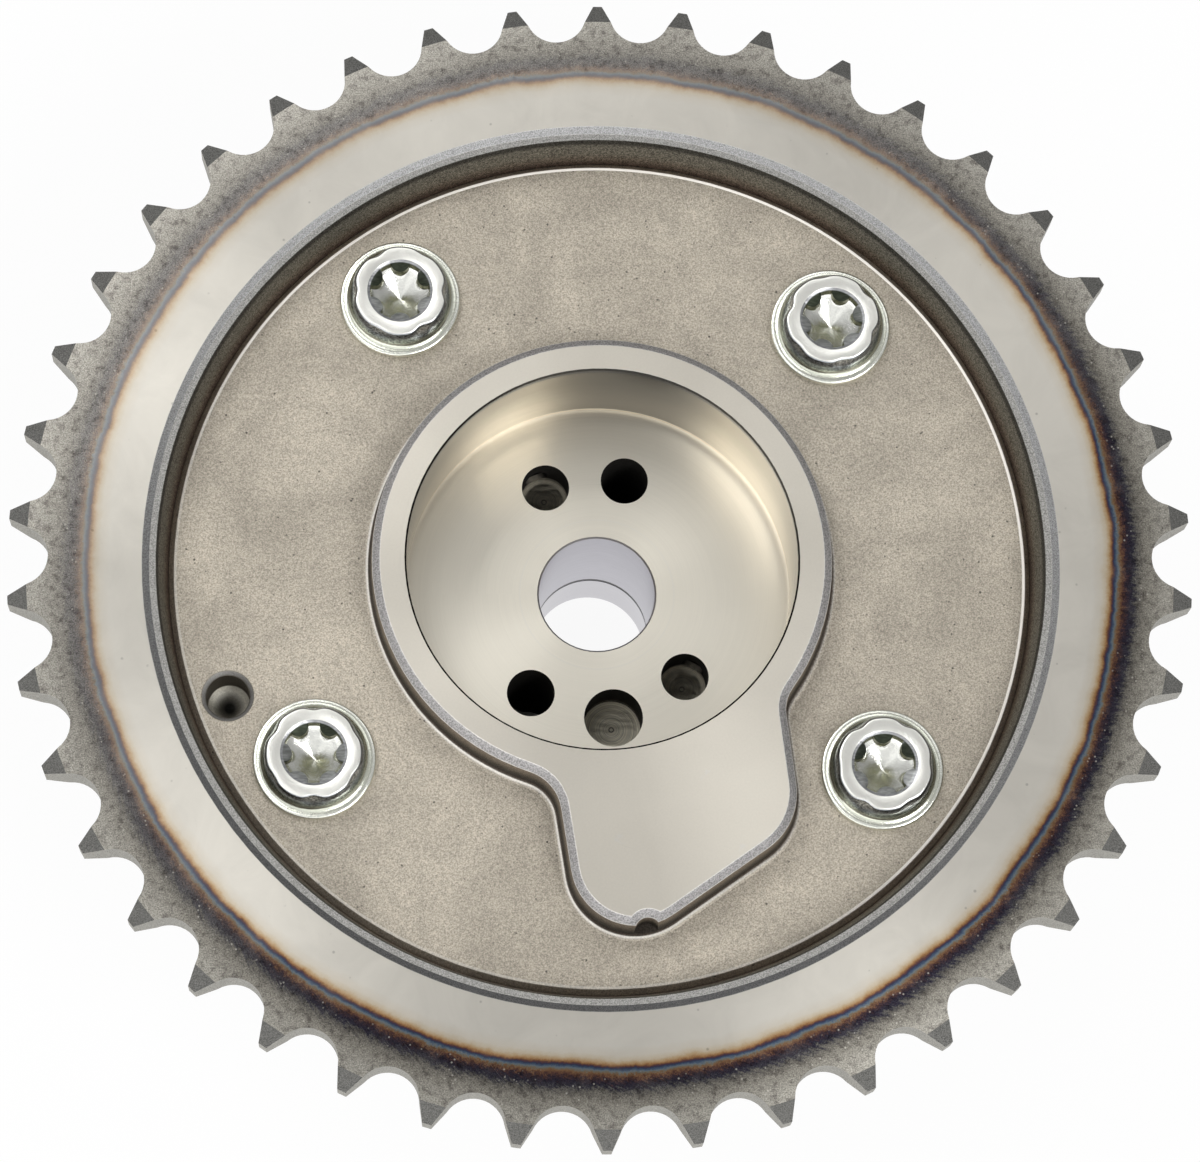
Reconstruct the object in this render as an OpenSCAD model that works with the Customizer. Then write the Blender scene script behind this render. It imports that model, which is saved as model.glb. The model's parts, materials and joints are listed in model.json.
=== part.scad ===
/* [Sprocket] */
// Number of chain teeth
tooth_count = 42; // [40:1:60]
// Pitch of the timing chain
chain_pitch = 8; // [7.8:0.05:9.6]
// Radius of the roller seat at the root of each gap
seat_r = 2.85; // [2.6:0.05:3]
// Half angle of the roller seat before the straight flanks begin
seat_half_angle = 61.6; // [56:0.2:66]
// Height of the tooth tips over the pitch circle
tip_over = 0.93; // [0.7:0.01:1.1]
// Thickness of the teeth
tooth_t = 3.65; // [3:0.05:5]
// Radial width of the bevel on both sides of the tooth tips
tip_bevel_w = 1.8; // [1:0.1:2.2]
// Depth of the bevel at the very tip
tip_bevel_drop = 0.65; // [0.3:0.05:1]
// Angle of the first tooth
first_tooth_angle = 89.84; // [85:0.01:95]

/* [Housing] */
// Inner radius of the oil chambers
chamber_r = 37; // [36:0.1:37.6]
// Height of the oil chambers between the two plates
chamber_h = 16.9; // [14:0.1:22]
// Wall outside the seat of the rear plate
housing_wall = 5; // [4:0.1:6]
// Angles of the four lobes and their bolts
lobe_angles = [47, 125.5, 214.5, 323]; // [0:0.5:360]
// Half angle of each lobe
lobe_half_angle = 12.5; // [11.5:0.1:13]
// Fillet where a lobe meets the chamber wall
lobe_fillet_r = 1.2; // [0.8:0.1:1.4]
// Gap between the lobe tips and the rotor hub, and between the vanes and the wall
tip_gap = 0.25; // [0.2:0.01:0.35]
// Rise of the conical hub under the teeth
web_cone_h = 3.2; // [2:0.1:4]
// Reach of the conical hub under the teeth
web_cone_w = 2.4; // [1:0.1:2.8]
// Edge chamfer at the front end of the housing
housing_chamfer = 0.6; // [0.3:0.05:1]

/* [Recess in the sprocket face] */
// Radial taper of the recess wall above the rear plate
recess_taper_w = 0.9; // [0.4:0.05:1.2]
// Width of the sintered step at the top of the recess wall
recess_step_w = 0.63; // [0.3:0.01:0.9]
// Depth of that step under the ground face
recess_step_drop = 0.4; // [0.2:0.02:0.6]
// Width of the chamfer between the step and the ground face
recess_chamfer_w = 0.67; // [0.3:0.01:0.9]

/* [Rear plate] */
// Radius of the rear plate
plate_r = 39.9; // [39.2:0.1:40.5]
// Thickness of the rear plate without its boss
plate_t = 9.15; // [8:0.05:12]
// Chamfer on the edge of the rear plate
plate_chamfer = 0.5; // [0.2:0.05:0.8]
// Radial clearance of the rear plate in the sprocket
plate_clear = 0.05; // [0.02:0.01:0.1]
// Radius of the bore for the nose of the camshaft
cam_bore_r = 18; // [17:0.05:18.5]
// Chamfer at the mouth of that bore
cam_bore_chamfer = 0.18; // [0.1:0.02:0.3]
// Height of the relieved stretch at the inner end of that bore
bore_relief_h = 2.5; // [1:0.1:3.5]
// Depth of that relief
bore_relief = 0.25; // [0.22:0.01:0.4]
// Height of the boss, whose face is level with the teeth
boss_h = 3.95; // [3:0.05:5]
// Wall of the boss around the bore, up to its bevel
boss_wall = 2.4; // [1.8:0.05:3]
// Width of the bevel around the boss and its lobe
bevel_w = 0.75; // [0.4:0.05:1]
// Height of that bevel
bevel_h = 0.6; // [0.3:0.05:0.9]
// Draft of the boss wall
wall_draft = 0.2; // [0.1:0.05:0.4]
// Fillet at the foot of the boss wall
foot_fillet = 0.6; // [0.3:0.05:0.9]
// Radius of the blind tooling hole
tooling_hole_r = 2; // [1.5:0.05:2.2]
// Depth of the tooling hole
tooling_hole_depth = 4; // [2:0.1:5]
// Chamfer of the tooling hole
tooling_hole_chamfer = 0.43; // [0.2:0.01:0.5]
// Distance of the tooling hole from the axis
tooling_hole_reach = 36.4; // [35.8:0.05:36.6]
// Angle of the tooling hole
tooling_hole_angle = 199.4; // [192:0.2:202]

/* [Lobe of the boss] */
// Distance from the axis to the centre of the round end of the lobe
lobe_end_reach = 28.43; // [27:0.05:29]
// Angle of that centre
lobe_end_angle = -84.55; // [-86:0.05:-83]
// Radius of the round end
lobe_end_r = 5.15; // [4.5:0.05:5.4]
// Distance from the axis to the centre of the outer corner of the lobe
lobe_corner_reach = 24.5; // [24:0.05:25]
// Angle of that centre
lobe_corner_angle = -63.3; // [-65:0.05:-62]
// Radius of the outer corner
lobe_corner_r = 5.65; // [5:0.05:6]
// Direction of the left flank of the lobe
lobe_left_angle = 98.5; // [96:0.5:101]
// Direction of the right flank of the lobe
lobe_right_angle = 96.7; // [94:0.1:99]
// Fillet between the left flank and the boss
lobe_left_fillet = 4.9; // [4:0.1:5.5]
// Fillet between the right flank and the boss
lobe_right_fillet = 4.2; // [3.6:0.1:4.8]
// Radius of the half-round timing notch in the edge of the lobe
notch_r = 1.2; // [0.9:0.05:1.5]
// Distance of the notch from the axis
notch_reach = 34.85; // [34.5:0.05:35.1]
// Angle of the notch
notch_angle = -83.85; // [-85:0.05:-83]

/* [Front plate] */
// Thickness of the front plate
front_t = 6; // [5:0.1:8]
// How far the front plate stands back from the housing wall
front_set_back = 0.5; // [0:0.1:1]
// Chamfer on both edges of the front plate
front_chamfer = 0.6; // [0.3:0.05:1]
// Radial clearance between the front plate and the centre bush
front_opening_clear = 0.4; // [0.3:0.05:0.6]

/* [Rotor] */
// Radius of the rotor hub
hub_r = 22.95; // [22:0.05:23.5]
// Swing of the rotor between its stops, in degrees
rotor_swing = 30; // [20:0.5:32]
// Angle left free at each stop
stop_slack = 0.4; // [0.3:0.05:0.6]
// Thickness of the narrow vanes
vane_t = 7.5; // [6:0.1:8.5]
// Corner chamfer at the vane tips
vane_chamfer = 1.6; // [1.5:0.05:1.8]
// Clearance of the rotor at each plate
side_gap = 0.03; // [0.02:0.005:0.06]
// Radius of the bore for the centre bolt
bolt_bore_r = 5.5; // [5:0.05:5.8]
// Chamfer of that bore
bolt_bore_chamfer = 0.15; // [0.1:0.01:0.2]
// Distance of the oil holes from the axis
oil_reach = 11.5; // [11.2:0.05:11.8]
// Radius of the oil holes
oil_r = 2.25; // [1.9:0.05:2.4]
// Angles of the two blind oil holes
blind_oil_angles = [114.5, 315.5]; // [0:0.5:360]
// Angles of the two through oil holes
through_oil_angles = [76.2, 236.7]; // [0:0.1:360]
// Depth of the blind oil holes
oil_depth = 4.9; // [4.4:0.1:6]
// Radius of the drill point at the end of the blind oil holes
oil_point_r = 1.85; // [1.5:0.05:1.9]
// Radius of the cross drillings to the chambers
cross_r = 1.2; // [0.9:0.05:1.3]
// Height of the cross drillings over the floor of the blind oil holes
cross_rise = 0.35; // [0.2:0.05:0.6]
// Distance of the dowel hole from the axis
dowel_reach = 12.1; // [11.9:0.05:12.4]
// Angle of the dowel hole
dowel_angle = 276.8; // [275:0.1:278]
// Radius of the dowel hole
dowel_r = 2.77; // [2.4:0.01:2.9]
// Depth of the dowel hole
dowel_depth = 4.95; // [4:0.05:7]
// Radius of the drill point at the end of the dowel hole
dowel_point_r = 2.4; // [2:0.05:2.4]
// Width of the oil groove ring in the front face of the rotor
ring_groove_w = 3; // [2.4:0.1:3.4]
// Width of the radial oil grooves in the front face
oil_groove_w = 2.4; // [2:0.1:2.8]
// Depth of the oil grooves
oil_groove_depth = 2; // [1:0.1:2.5]
// Angle from a vane to its oil ports
port_angle = 13; // [12:0.5:15]
// Angle from the end of the wide vane to its seal, which leaves room for the lock pin
wide_seal_angle = 9; // [7:0.5:11]

/* [Centre bush] */
// Outer radius of the bush under the head of the centre bolt
bush_r = 8; // [7.5:0.05:8.4]
// Depth of its seat in the rotor
bush_seat = 1.7; // [1:0.05:2.5]
// How far the bush stands back from the front face
bush_set_back = 0.9; // [0.4:0.05:1.5]
// Chamfer of the bush
bush_chamfer = 0.25; // [0.1:0.05:0.5]

/* [Seals] */
// Width of the seal bars
seal_w = 2; // [1.8:0.05:2.4]
// Clearance of a seal bar on each side of its slot
seal_side_clear = 0.05; // [0.03:0.01:0.08]
// Radial height of the seal bars
seal_h = 2.4; // [2.2:0.05:2.6]
// Gap left at the sealing face
seal_gap = 0.1; // [0.05:0.01:0.15]
// Height of the feet at both ends of a seal bar
seal_foot_h = 0.7; // [0.5:0.05:0.9]
// Length of each foot
seal_foot_length = 1.8; // [1.2:0.1:2]
// Thickness of the leaf springs
leaf_t = 0.25; // [0.15:0.01:0.3]
// Rise of a leaf spring in the middle
leaf_rise = 0.85; // [0.6:0.01:0.95]
// Width of the leaf springs
leaf_w = 1.7; // [1.2:0.05:1.75]
// Room at each end of a leaf spring, up to the seal feet
leaf_end_clear = 0.4; // [0.2:0.05:0.8]

/* [Lock pin] */
// Radius of the lock pin
pin_r = 4.5; // [4:0.05:4.6]
// Clearance of the lock pin in the rotor
pin_clear = 0.05; // [0.02:0.01:0.09]
// Length of the tapered nose
nose_length = 3.5; // [3:0.1:4]
// Radius of the nose where it leaves the body
nose_base_r = 3.9; // [3.7:0.05:3.95]
// Radius of the nose at its tip
nose_tip_r = 3.5; // [3:0.05:3.6]
// Length of the pin body behind the nose
pin_body_length = 8; // [7:0.1:8.4]
// Radius of the spring bore in the pin
pin_spring_bore_r = 2.95; // [2.8:0.05:3.1]
// Wall left at the front of the spring bore
pin_front_wall = 2.5; // [1.5:0.1:3]
// Thickness of the spring retainer
retainer_t = 1.6; // [1.2:0.1:2]
// Radius of the vent in the retainer
retainer_vent_r = 1.2; // [0.8:0.05:1.6]
// Wire radius of the lock spring
spring_wire_r = 0.4; // [0.3:0.01:0.42]
// Turns of the lock spring
spring_turns = 7; // [5:1:8]
// Outer radius of the lock bush in the rear plate
lock_bush_r = 6; // [5.6:0.05:6.2]
// Length of the lock bush
lock_bush_length = 5; // [4:0.1:5.4]
// Clearance between the nose and the lock bush
lock_bush_clear = 0.1; // [0.05:0.01:0.2]
// Chamfer at the mouth of the lock bush
lock_bush_chamfer = 0.4; // [0.2:0.05:0.6]

/* [Flange bolts] */
// Distance of the bolts from the axis
bolt_reach = 32; // [31.6:0.05:32.4]
// Nominal thread radius
bolt_r = 3; // [2.8:0.05:3.1]
// Radial clearance of the bolt holes
bolt_hole_clear = 0.3; // [0.2:0.05:0.4]
// Radial clearance of the threaded end in the front plate
thread_clear = 0.04; // [0.02:0.01:0.08]
// Length of a bolt under its head
bolt_length = 30; // [28:0.5:31]
// Chamfer at the end of a bolt
bolt_end_chamfer = 0.6; // [0.3:0.05:1]
// Radius of the flange
flange_r = 5.65; // [5.3:0.05:5.8]
// Thickness of the flange at its rim
flange_t = 0.85; // [0.6:0.05:1.1]
// Height of the whole head
head_h = 3.1; // [2.7:0.05:3.4]
// Radius of the head above the flange
head_r = 4.85; // [4.6:0.05:5]
// Radius of the flat top of the head
head_top_r = 4.2; // [4:0.05:4.4]
// Radius of the star socket at its points
star_r = 2.8; // [2.5:0.05:2.9]
// Radius of the star socket between its points
star_waist_r = 2; // [1.8:0.05:2.1]
// Radius of the rounded ribs between the points
star_rib_r = 0.95; // [0.8:0.05:1.1]
// Depth of the star socket
star_depth = 2.2; // [1.6:0.1:2.3]
// Depth of the cone below the socket
star_cone_depth = 0.8; // [0.4:0.05:1]
// Radius of the countersink of the socket
star_sink_r = 3.05; // [2.9:0.05:3.1]
// Turn of each star socket about its bolt
star_turns = [22, 0, 30, 2]; // [0:1:59]

/* [Hidden] */
$fn = 96;

// Overrun of every cut, and sink of every joined boss
over = 1;
// Side clearance of pressed pieces, which keeps two walls apart
press_clear = 0.01;
// How far a round surface crosses the flat or round one that it runs out on
run_out = 0.02;
// Step between a round corner of the boss and the flat flank that it runs on from
seam_step = 0.002;

// Heights, from the front face up
rear_z = front_t + chamber_h;
plate_z = rear_z + plate_t;
face_z = plate_z + boss_h;
teeth_z = face_z - tooth_t;
rotor_z = front_t + side_gap;
rotor_h = chamber_h - 2 * side_gap;
rotor_face_z = rotor_z + rotor_h;

// Sprocket
pitch_angle = 360 / tooth_count;
pitch_r = chain_pitch / (2 * sin(pitch_angle / 2));
tip_r = pitch_r + tip_over;

// Radii of the recess, from the rear plate out
pocket_r = plate_r + plate_clear;
recess_top_r = pocket_r + recess_taper_w;
step_r = recess_top_r + recess_step_w;
ring_face_r = step_r + recess_chamfer_w;
housing_r = pocket_r + housing_wall;
front_r = housing_r - front_set_back;

// Lobes, vanes and their angles
lobe_tip_r = hub_r + tip_gap;
vane_tip_r = chamber_r - tip_gap;
lobe_count = len(lobe_angles);
wide_vane = 2;
function next_lobe(i) = i + 1 < lobe_count ? lobe_angles[i + 1] : lobe_angles[0] + 360;
function mid_angle(i) = (lobe_angles[i] + next_lobe(i)) / 2;
function vane_angle(i) = mid_angle(i) + rotor_swing / 2;
wide_from = lobe_angles[wide_vane] + lobe_half_angle + stop_slack + rotor_swing;
wide_to = next_lobe(wide_vane) - lobe_half_angle - stop_slack;
wide_mid = (wide_from + wide_to) / 2;
function seal_angle(i) = i == wide_vane ? wide_to - wide_seal_angle : vane_angle(i);
function port_before(i) = i == wide_vane ? wide_from - port_angle / 3 : vane_angle(i) - port_angle;
function port_after(i) = i == wide_vane ? wide_to + port_angle / 3 : vane_angle(i) + port_angle;

// Seals
slot_w = seal_w + 2 * seal_side_clear;
leaf_room = leaf_rise + leaf_t + seal_side_clear;
vane_slot_r = chamber_r - seal_gap - seal_h - leaf_room;
lobe_slot_r = hub_r + seal_gap + seal_h + leaf_room;
leaf_chord = rotor_h - 2 * seal_foot_length - 2 * leaf_end_clear;
leaf_bend_r = leaf_chord * leaf_chord / (8 * leaf_rise) + leaf_rise / 2;

// Boss and lobe
boss_r = cam_bore_r + boss_wall;
lobe_end = polar(lobe_end_reach, lobe_end_angle);
lobe_corner = polar(lobe_corner_reach, lobe_corner_angle);
skirt_w = bevel_w + wall_draft + foot_fillet;
skirt_z = plate_z - over;
drill_point_angle = 59;

// Lock pin, midway between the camshaft's bore and the tips of the vanes
pin_reach = (cam_bore_r + vane_tip_r) / 2;
pin_bore_r = pin_r + pin_clear;
pin_tip_z = rotor_face_z;
pin_body_z = pin_tip_z - nose_length;
pin_back_z = pin_body_z - pin_body_length;
spring_from_z = rotor_z + retainer_t;
spring_to_z = pin_tip_z - pin_front_wall;
spring_coil_r = pin_spring_bore_r - spring_wire_r - 2 * pin_clear;
spring_steps = 16;
spring_sides = 8;

function polar(r, a) = [r * cos(a), r * sin(a)];
function arc(r, from, to, steps, c = [0, 0]) =
    [for (k = [0:steps]) c + polar(r, from + (to - from) * k / steps)];

// Sector between two angles, wider than the radius it is cut with
module wedge(r, from, to) {
    polygon(concat([[0, 0]], arc(2 * r, from, to, 4)));
}

// Blind drilled hole that opens at z, with a conical drill point
module drilled(r, depth, point_r, z) {
    translate([0, 0, z - depth]) cylinder(r = r, h = depth + over);
    translate([0, 0, z - depth - point_r / tan(drill_point_angle)])
        cylinder(r1 = 0, r2 = point_r, h = point_r / tan(drill_point_angle));
}

// Gap between two teeth: a round roller seat with straight flanks
module tooth_gap() {
    seat = (seat_r - run_out) * [cos(seat_half_angle), sin(seat_half_angle)];
    run = seat.x + tip_over + over;
    flare = run / tan(seat_half_angle);
    translate([pitch_r, 0]) {
        circle(r = seat_r);
        polygon([[-seat.x, -seat.y], [run - seat.x, -seat.y - flare],
            [run - seat.x, seat.y + flare], [-seat.x, seat.y]]);
    }
}

// Fillets on both sides of a lobe at the chamber wall
module lobe_fillets() {
    centre_r = chamber_r - lobe_fillet_r + run_out;
    swing = asin((lobe_fillet_r - run_out) / centre_r);
    for (side = [-1, 1]) difference() {
        polygon([polar(centre_r * cos(swing), side * (lobe_half_angle - swing)),
            polar(chamber_r + over, side * (lobe_half_angle - swing)),
            polar(chamber_r + over, side * (lobe_half_angle + swing)),
            polar(centre_r, side * (lobe_half_angle + swing))]);
        translate(polar(centre_r, side * (lobe_half_angle + swing))) circle(r = lobe_fillet_r);
    }
}

// Oil chambers as cut into the housing, with the seal slots and the bolt holes in the lobes
module chamber_plan() {
    difference() {
        circle(r = chamber_r);
        for (a = lobe_angles) rotate(a) difference() {
            union() {
                wedge(chamber_r, -lobe_half_angle, lobe_half_angle);
                lobe_fillets();
            }
            circle(r = lobe_tip_r);
        }
    }
    for (a = lobe_angles) rotate(a) {
        translate([lobe_tip_r - over, -slot_w / 2]) square([lobe_slot_r - lobe_tip_r + over, slot_w]);
        translate([bolt_reach, 0]) circle(r = bolt_r + bolt_hole_clear);
    }
}

module sprocket_housing() {
    color([0.62, 0.60, 0.57]) difference() {
        rotate_extrude() polygon([
            [0, front_t], [housing_r - housing_chamfer, front_t],
            [housing_r, front_t + housing_chamfer], [housing_r, teeth_z - web_cone_h],
            [housing_r + web_cone_w, teeth_z], [tip_r - tip_bevel_w, teeth_z],
            [tip_r, teeth_z + tip_bevel_drop], [tip_r, face_z - tip_bevel_drop],
            [tip_r - tip_bevel_w, face_z], [ring_face_r, face_z],
            [step_r, face_z - recess_step_drop], [recess_top_r, face_z - recess_step_drop],
            [pocket_r, plate_z - plate_chamfer], [pocket_r, rear_z], [0, rear_z]]);
        translate([0, 0, front_t - over]) linear_extrude(chamber_h + 2 * over) chamber_plan();
        translate([0, 0, teeth_z - over]) linear_extrude(tooth_t + 2 * over)
            for (k = [0:tooth_count - 1])
                rotate(first_tooth_angle + (k + 0.5) * pitch_angle) tooth_gap();
    }
}

// Side of the boss and its lobe: distance outside the edge of its face, and height
function skirt() = concat(
    [[0, face_z], [bevel_w, face_z - bevel_h], [bevel_w + wall_draft, plate_z + foot_fillet]],
    [for (a = [30, 60, 90]) [skirt_w - foot_fillet * cos(a),
        plate_z + foot_fillet - foot_fillet * sin(a)]],
    [[skirt_w, skirt_z]]);

// Round corner of the boss, with the skirt all round
module skirt_corner(centre, r) {
    translate(centre) rotate_extrude()
        polygon(concat([[0, skirt_z], [0, face_z]],
            [for (p = skirt()) [r - seam_step + p.x, p.y]]));
}

// Straight flank of the lobe from one point of its edge on, with the skirt on its right
module skirt_run(from, angle, length, depth) {
    translate(from) rotate(angle - 90) rotate([90, 0, 180]) linear_extrude(length)
        mirror([1, 0]) polygon(concat([[-depth, skirt_z], [-depth, face_z]], skirt()));
}

// Filling of a hollow corner: a prism less a round cutter with the skirt inside out
module skirt_hollow(outline, centre, r) {
    difference() {
        translate([0, 0, skirt_z]) linear_extrude(face_z - skirt_z) polygon(outline);
        translate(centre) rotate_extrude() polygon(concat(
            [[0, face_z + over], [r - seam_step, face_z + over]],
            [for (p = skirt()) [r - seam_step - p.x, p.y]],
            [[r - skirt_w, skirt_z - over], [0, skirt_z - over]]));
    }
}

// Length along a flank up to where a fillet of radius f touches it and the boss
function flank_length(base, dir, f) =
    let (b = base * dir) -b - sqrt(b * b - base * base + pow(boss_r + f, 2));

// Boss around the bore and its lobe: round corners, straight flanks and filled hollows
module boss() {
    left_dir = polar(1, lobe_left_angle);
    left_out = polar(1, lobe_left_angle + 90);
    right_dir = polar(1, lobe_right_angle);
    right_out = polar(1, lobe_right_angle - 90);
    left_base = lobe_end + (lobe_end_r + lobe_left_fillet) * left_out;
    right_base = lobe_corner + (lobe_corner_r + lobe_right_fillet) * right_out;
    left_length = flank_length(left_base, left_dir, lobe_left_fillet);
    right_length = flank_length(right_base, right_dir, lobe_right_fillet);
    left_in = lobe_end + left_length * left_dir;
    right_in = lobe_corner + right_length * right_dir;
    left_hollow = left_base + left_length * left_dir;
    right_hollow = right_base + right_length * right_dir;
    span = lobe_corner - lobe_end;
    out_angle = atan2(span.y, span.x) - acos((lobe_end_r - lobe_corner_r) / norm(span));
    out_dir = polar(1, out_angle);
    low_length = norm(span + (lobe_corner_r - lobe_end_r) * out_dir);
    depth = lobe_end_r / 2;
    core = depth * 1.5;
    skirt_corner([0, 0], boss_r);
    skirt_corner(lobe_end, lobe_end_r);
    skirt_corner(lobe_corner, lobe_corner_r);
    skirt_run(left_in + lobe_left_fillet * left_dir + lobe_end_r * left_out,
        lobe_left_angle + 180, left_length + lobe_left_fillet, depth);
    skirt_run(lobe_corner + lobe_corner_r * right_out, lobe_right_angle,
        right_length + lobe_right_fillet, depth);
    skirt_run(lobe_end + lobe_end_r * out_dir, out_angle + 90, low_length, depth);
    translate([0, 0, skirt_z]) linear_extrude(face_z - skirt_z)
        polygon([[0, 0], left_in + core * left_out, lobe_end + core * left_out,
            lobe_end + core * out_dir, lobe_corner + core * out_dir,
            lobe_corner + core * right_out, right_in + core * right_out]);
    skirt_hollow([[0, 0], left_hollow, left_in], left_hollow, lobe_left_fillet);
    skirt_hollow([[0, 0], right_in, right_hollow], right_hollow, lobe_right_fillet);
}

module rear_plate() {
    color([0.66, 0.62, 0.56]) difference() {
        union() {
            translate([0, 0, rear_z]) cylinder(r = plate_r, h = plate_t - plate_chamfer);
            translate([0, 0, plate_z - plate_chamfer])
                cylinder(r1 = plate_r, r2 = plate_r - plate_chamfer, h = plate_chamfer);
            boss();
        }
        rotate_extrude() polygon([[0, rear_z - over], [cam_bore_r + bore_relief, rear_z - over],
            [cam_bore_r + bore_relief, rear_z + bore_relief_h - bore_relief],
            [cam_bore_r, rear_z + bore_relief_h], [cam_bore_r, face_z - cam_bore_chamfer],
            [cam_bore_r + cam_bore_chamfer, face_z],
            [cam_bore_r + cam_bore_chamfer, face_z + over], [0, face_z + over]]);
        translate(polar(notch_reach, notch_angle)) {
            translate([0, 0, plate_z + foot_fillet]) cylinder(r = notch_r, h = boss_h);
            translate([0, 0, face_z - bevel_h])
                cylinder(r1 = notch_r, r2 = notch_r + 2 * bevel_w, h = 2 * bevel_h);
        }
        for (a = lobe_angles) translate(polar(bolt_reach, a))
            translate([0, 0, rear_z - over])
                cylinder(r = bolt_r + bolt_hole_clear, h = plate_t + 2 * over);
        translate(polar(tooling_hole_reach, tooling_hole_angle)) {
            drilled(tooling_hole_r, tooling_hole_depth, tooling_hole_r, plate_z);
            translate([0, 0, plate_z - tooling_hole_chamfer])
                cylinder(r1 = tooling_hole_r, r2 = tooling_hole_r + 2 * tooling_hole_chamfer,
                    h = 2 * tooling_hole_chamfer);
        }
        translate(polar(pin_reach, wide_mid)) translate([0, 0, rear_z - over])
            cylinder(r = lock_bush_r + press_clear, h = lock_bush_length + over);
    }
}

module front_plate() {
    color([0.60, 0.59, 0.58]) difference() {
        rotate_extrude() polygon([[bush_r + front_opening_clear, 0], [front_r - front_chamfer, 0],
            [front_r, front_chamfer], [front_r, front_t - front_chamfer],
            [front_r - front_chamfer, front_t], [bush_r + front_opening_clear, front_t]]);
        for (a = lobe_angles) translate(polar(bolt_reach, a))
            translate([0, 0, -over]) cylinder(r = bolt_r, h = front_t + 2 * over);
    }
}

// Narrow vane along x, with chamfered tip corners
module narrow_vane() {
    intersection() {
        circle(r = vane_tip_r);
        polygon([[0, -vane_t / 2], [vane_tip_r - vane_chamfer, -vane_t / 2],
            [vane_tip_r + over, -vane_t / 2 + vane_chamfer + over],
            [vane_tip_r + over, vane_t / 2 - vane_chamfer - over],
            [vane_tip_r - vane_chamfer, vane_t / 2], [0, vane_t / 2]]);
    }
}

// Wide vane that carries the lock pin, with chamfered tip corners
module wide_vane_plan() {
    corner = vane_tip_r - vane_chamfer;
    bite = vane_chamfer / vane_tip_r * 180 / PI;
    intersection() {
        circle(r = vane_tip_r);
        polygon(concat([[0, 0], polar(corner, wide_from)],
            arc(vane_tip_r + over, wide_from + bite, wide_to - bite, 8),
            [polar(corner, wide_to)]));
    }
}

module rotor_plan() {
    difference() {
        union() {
            circle(r = hub_r);
            for (i = [0:lobe_count - 1]) if (i != wide_vane) rotate(vane_angle(i)) narrow_vane();
            wide_vane_plan();
        }
        for (i = [0:lobe_count - 1]) rotate(seal_angle(i)) translate([vane_slot_r, -slot_w / 2])
            square([chamber_r - vane_slot_r, slot_w]);
        circle(r = bolt_bore_r);
    }
}

// Straight drilling from an oil hole to a port on the hub
module cross_drilling(from, to, z) {
    d = to - from;
    translate([from.x, from.y, z]) rotate([0, 90, atan2(d.y, d.x)]) cylinder(r = cross_r, h = norm(d));
}

module rotor() {
    ring_groove_r = oil_reach - ring_groove_w / 2;
    cross_z = rotor_face_z - oil_depth + cross_r + cross_rise;
    color([0.80, 0.76, 0.68]) difference() {
        translate([0, 0, rotor_z]) linear_extrude(rotor_h) rotor_plan();
        translate([0, 0, rotor_face_z - bolt_bore_chamfer])
            cylinder(r1 = bolt_bore_r, r2 = bolt_bore_r + 2 * bolt_bore_chamfer,
                h = 2 * bolt_bore_chamfer);
        translate([0, 0, rotor_z - over]) cylinder(r = bush_r + press_clear, h = bush_seat + over);
        for (a = blind_oil_angles) translate(polar(oil_reach, a))
            drilled(oil_r, oil_depth, oil_point_r, rotor_face_z);
        for (a = through_oil_angles) translate(polar(oil_reach, a))
            translate([0, 0, rotor_z - over]) cylinder(r = oil_r, h = rotor_h + 2 * over);
        translate(polar(dowel_reach, dowel_angle))
            drilled(dowel_r, dowel_depth, dowel_point_r, rotor_face_z);
        for (i = [0, 1]) cross_drilling(polar(oil_reach, blind_oil_angles[0]),
            polar(hub_r + over, port_after(i)), cross_z);
        for (i = [2, 3]) cross_drilling(polar(oil_reach, blind_oil_angles[1]),
            polar(hub_r + over, port_after(i)), cross_z);
        translate([0, 0, rotor_z - over]) linear_extrude(oil_groove_depth + over) {
            difference() {
                circle(r = ring_groove_r + ring_groove_w);
                circle(r = ring_groove_r);
            }
            for (i = [0:lobe_count - 1]) rotate(port_before(i))
                translate([oil_reach, -oil_groove_w / 2])
                    square([hub_r - oil_reach + tip_gap, oil_groove_w]);
        }
        translate(polar(pin_reach, wide_mid)) translate([0, 0, rotor_z - over])
            cylinder(r = pin_bore_r, h = rotor_h + 2 * over);
    }
}

module centre_bush() {
    top_z = rotor_z + bush_seat;
    color([0.70, 0.68, 0.72]) rotate_extrude() polygon([
        [bolt_bore_r, bush_set_back + bush_chamfer], [bolt_bore_r + bush_chamfer, bush_set_back],
        [bush_r - bush_chamfer, bush_set_back], [bush_r, bush_set_back + bush_chamfer],
        [bush_r, top_z - bush_chamfer], [bush_r - bush_chamfer, top_z],
        [bolt_bore_r + bush_chamfer, top_z], [bolt_bore_r, top_z - bush_chamfer]]);
}

// Seal bar with a foot at each end, from radius r on, the feet on its inner or outer side
module seal_bar(face_r, outward) {
    base_r = outward ? face_r - seal_h : face_r;
    foot_r = outward ? base_r - seal_foot_h : base_r + seal_h - seal_side_clear;
    translate([0, 0, rotor_z]) {
        linear_extrude(rotor_h) seal_plan(face_r, base_r, seal_h, outward);
        for (z = [0, rotor_h - seal_foot_length]) translate([foot_r, -seal_w / 2, z])
            cube([seal_foot_h + seal_side_clear, seal_w, seal_foot_length]);
    }
}

module seal_plan(face_r, base_r, height, outward) {
    if (outward) intersection() {
        circle(r = face_r);
        translate([base_r, -seal_w / 2]) square([height + over, seal_w]);
    }
    else difference() {
        translate([base_r - over, -seal_w / 2]) square([height + over, seal_w]);
        circle(r = face_r);
    }
}

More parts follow.
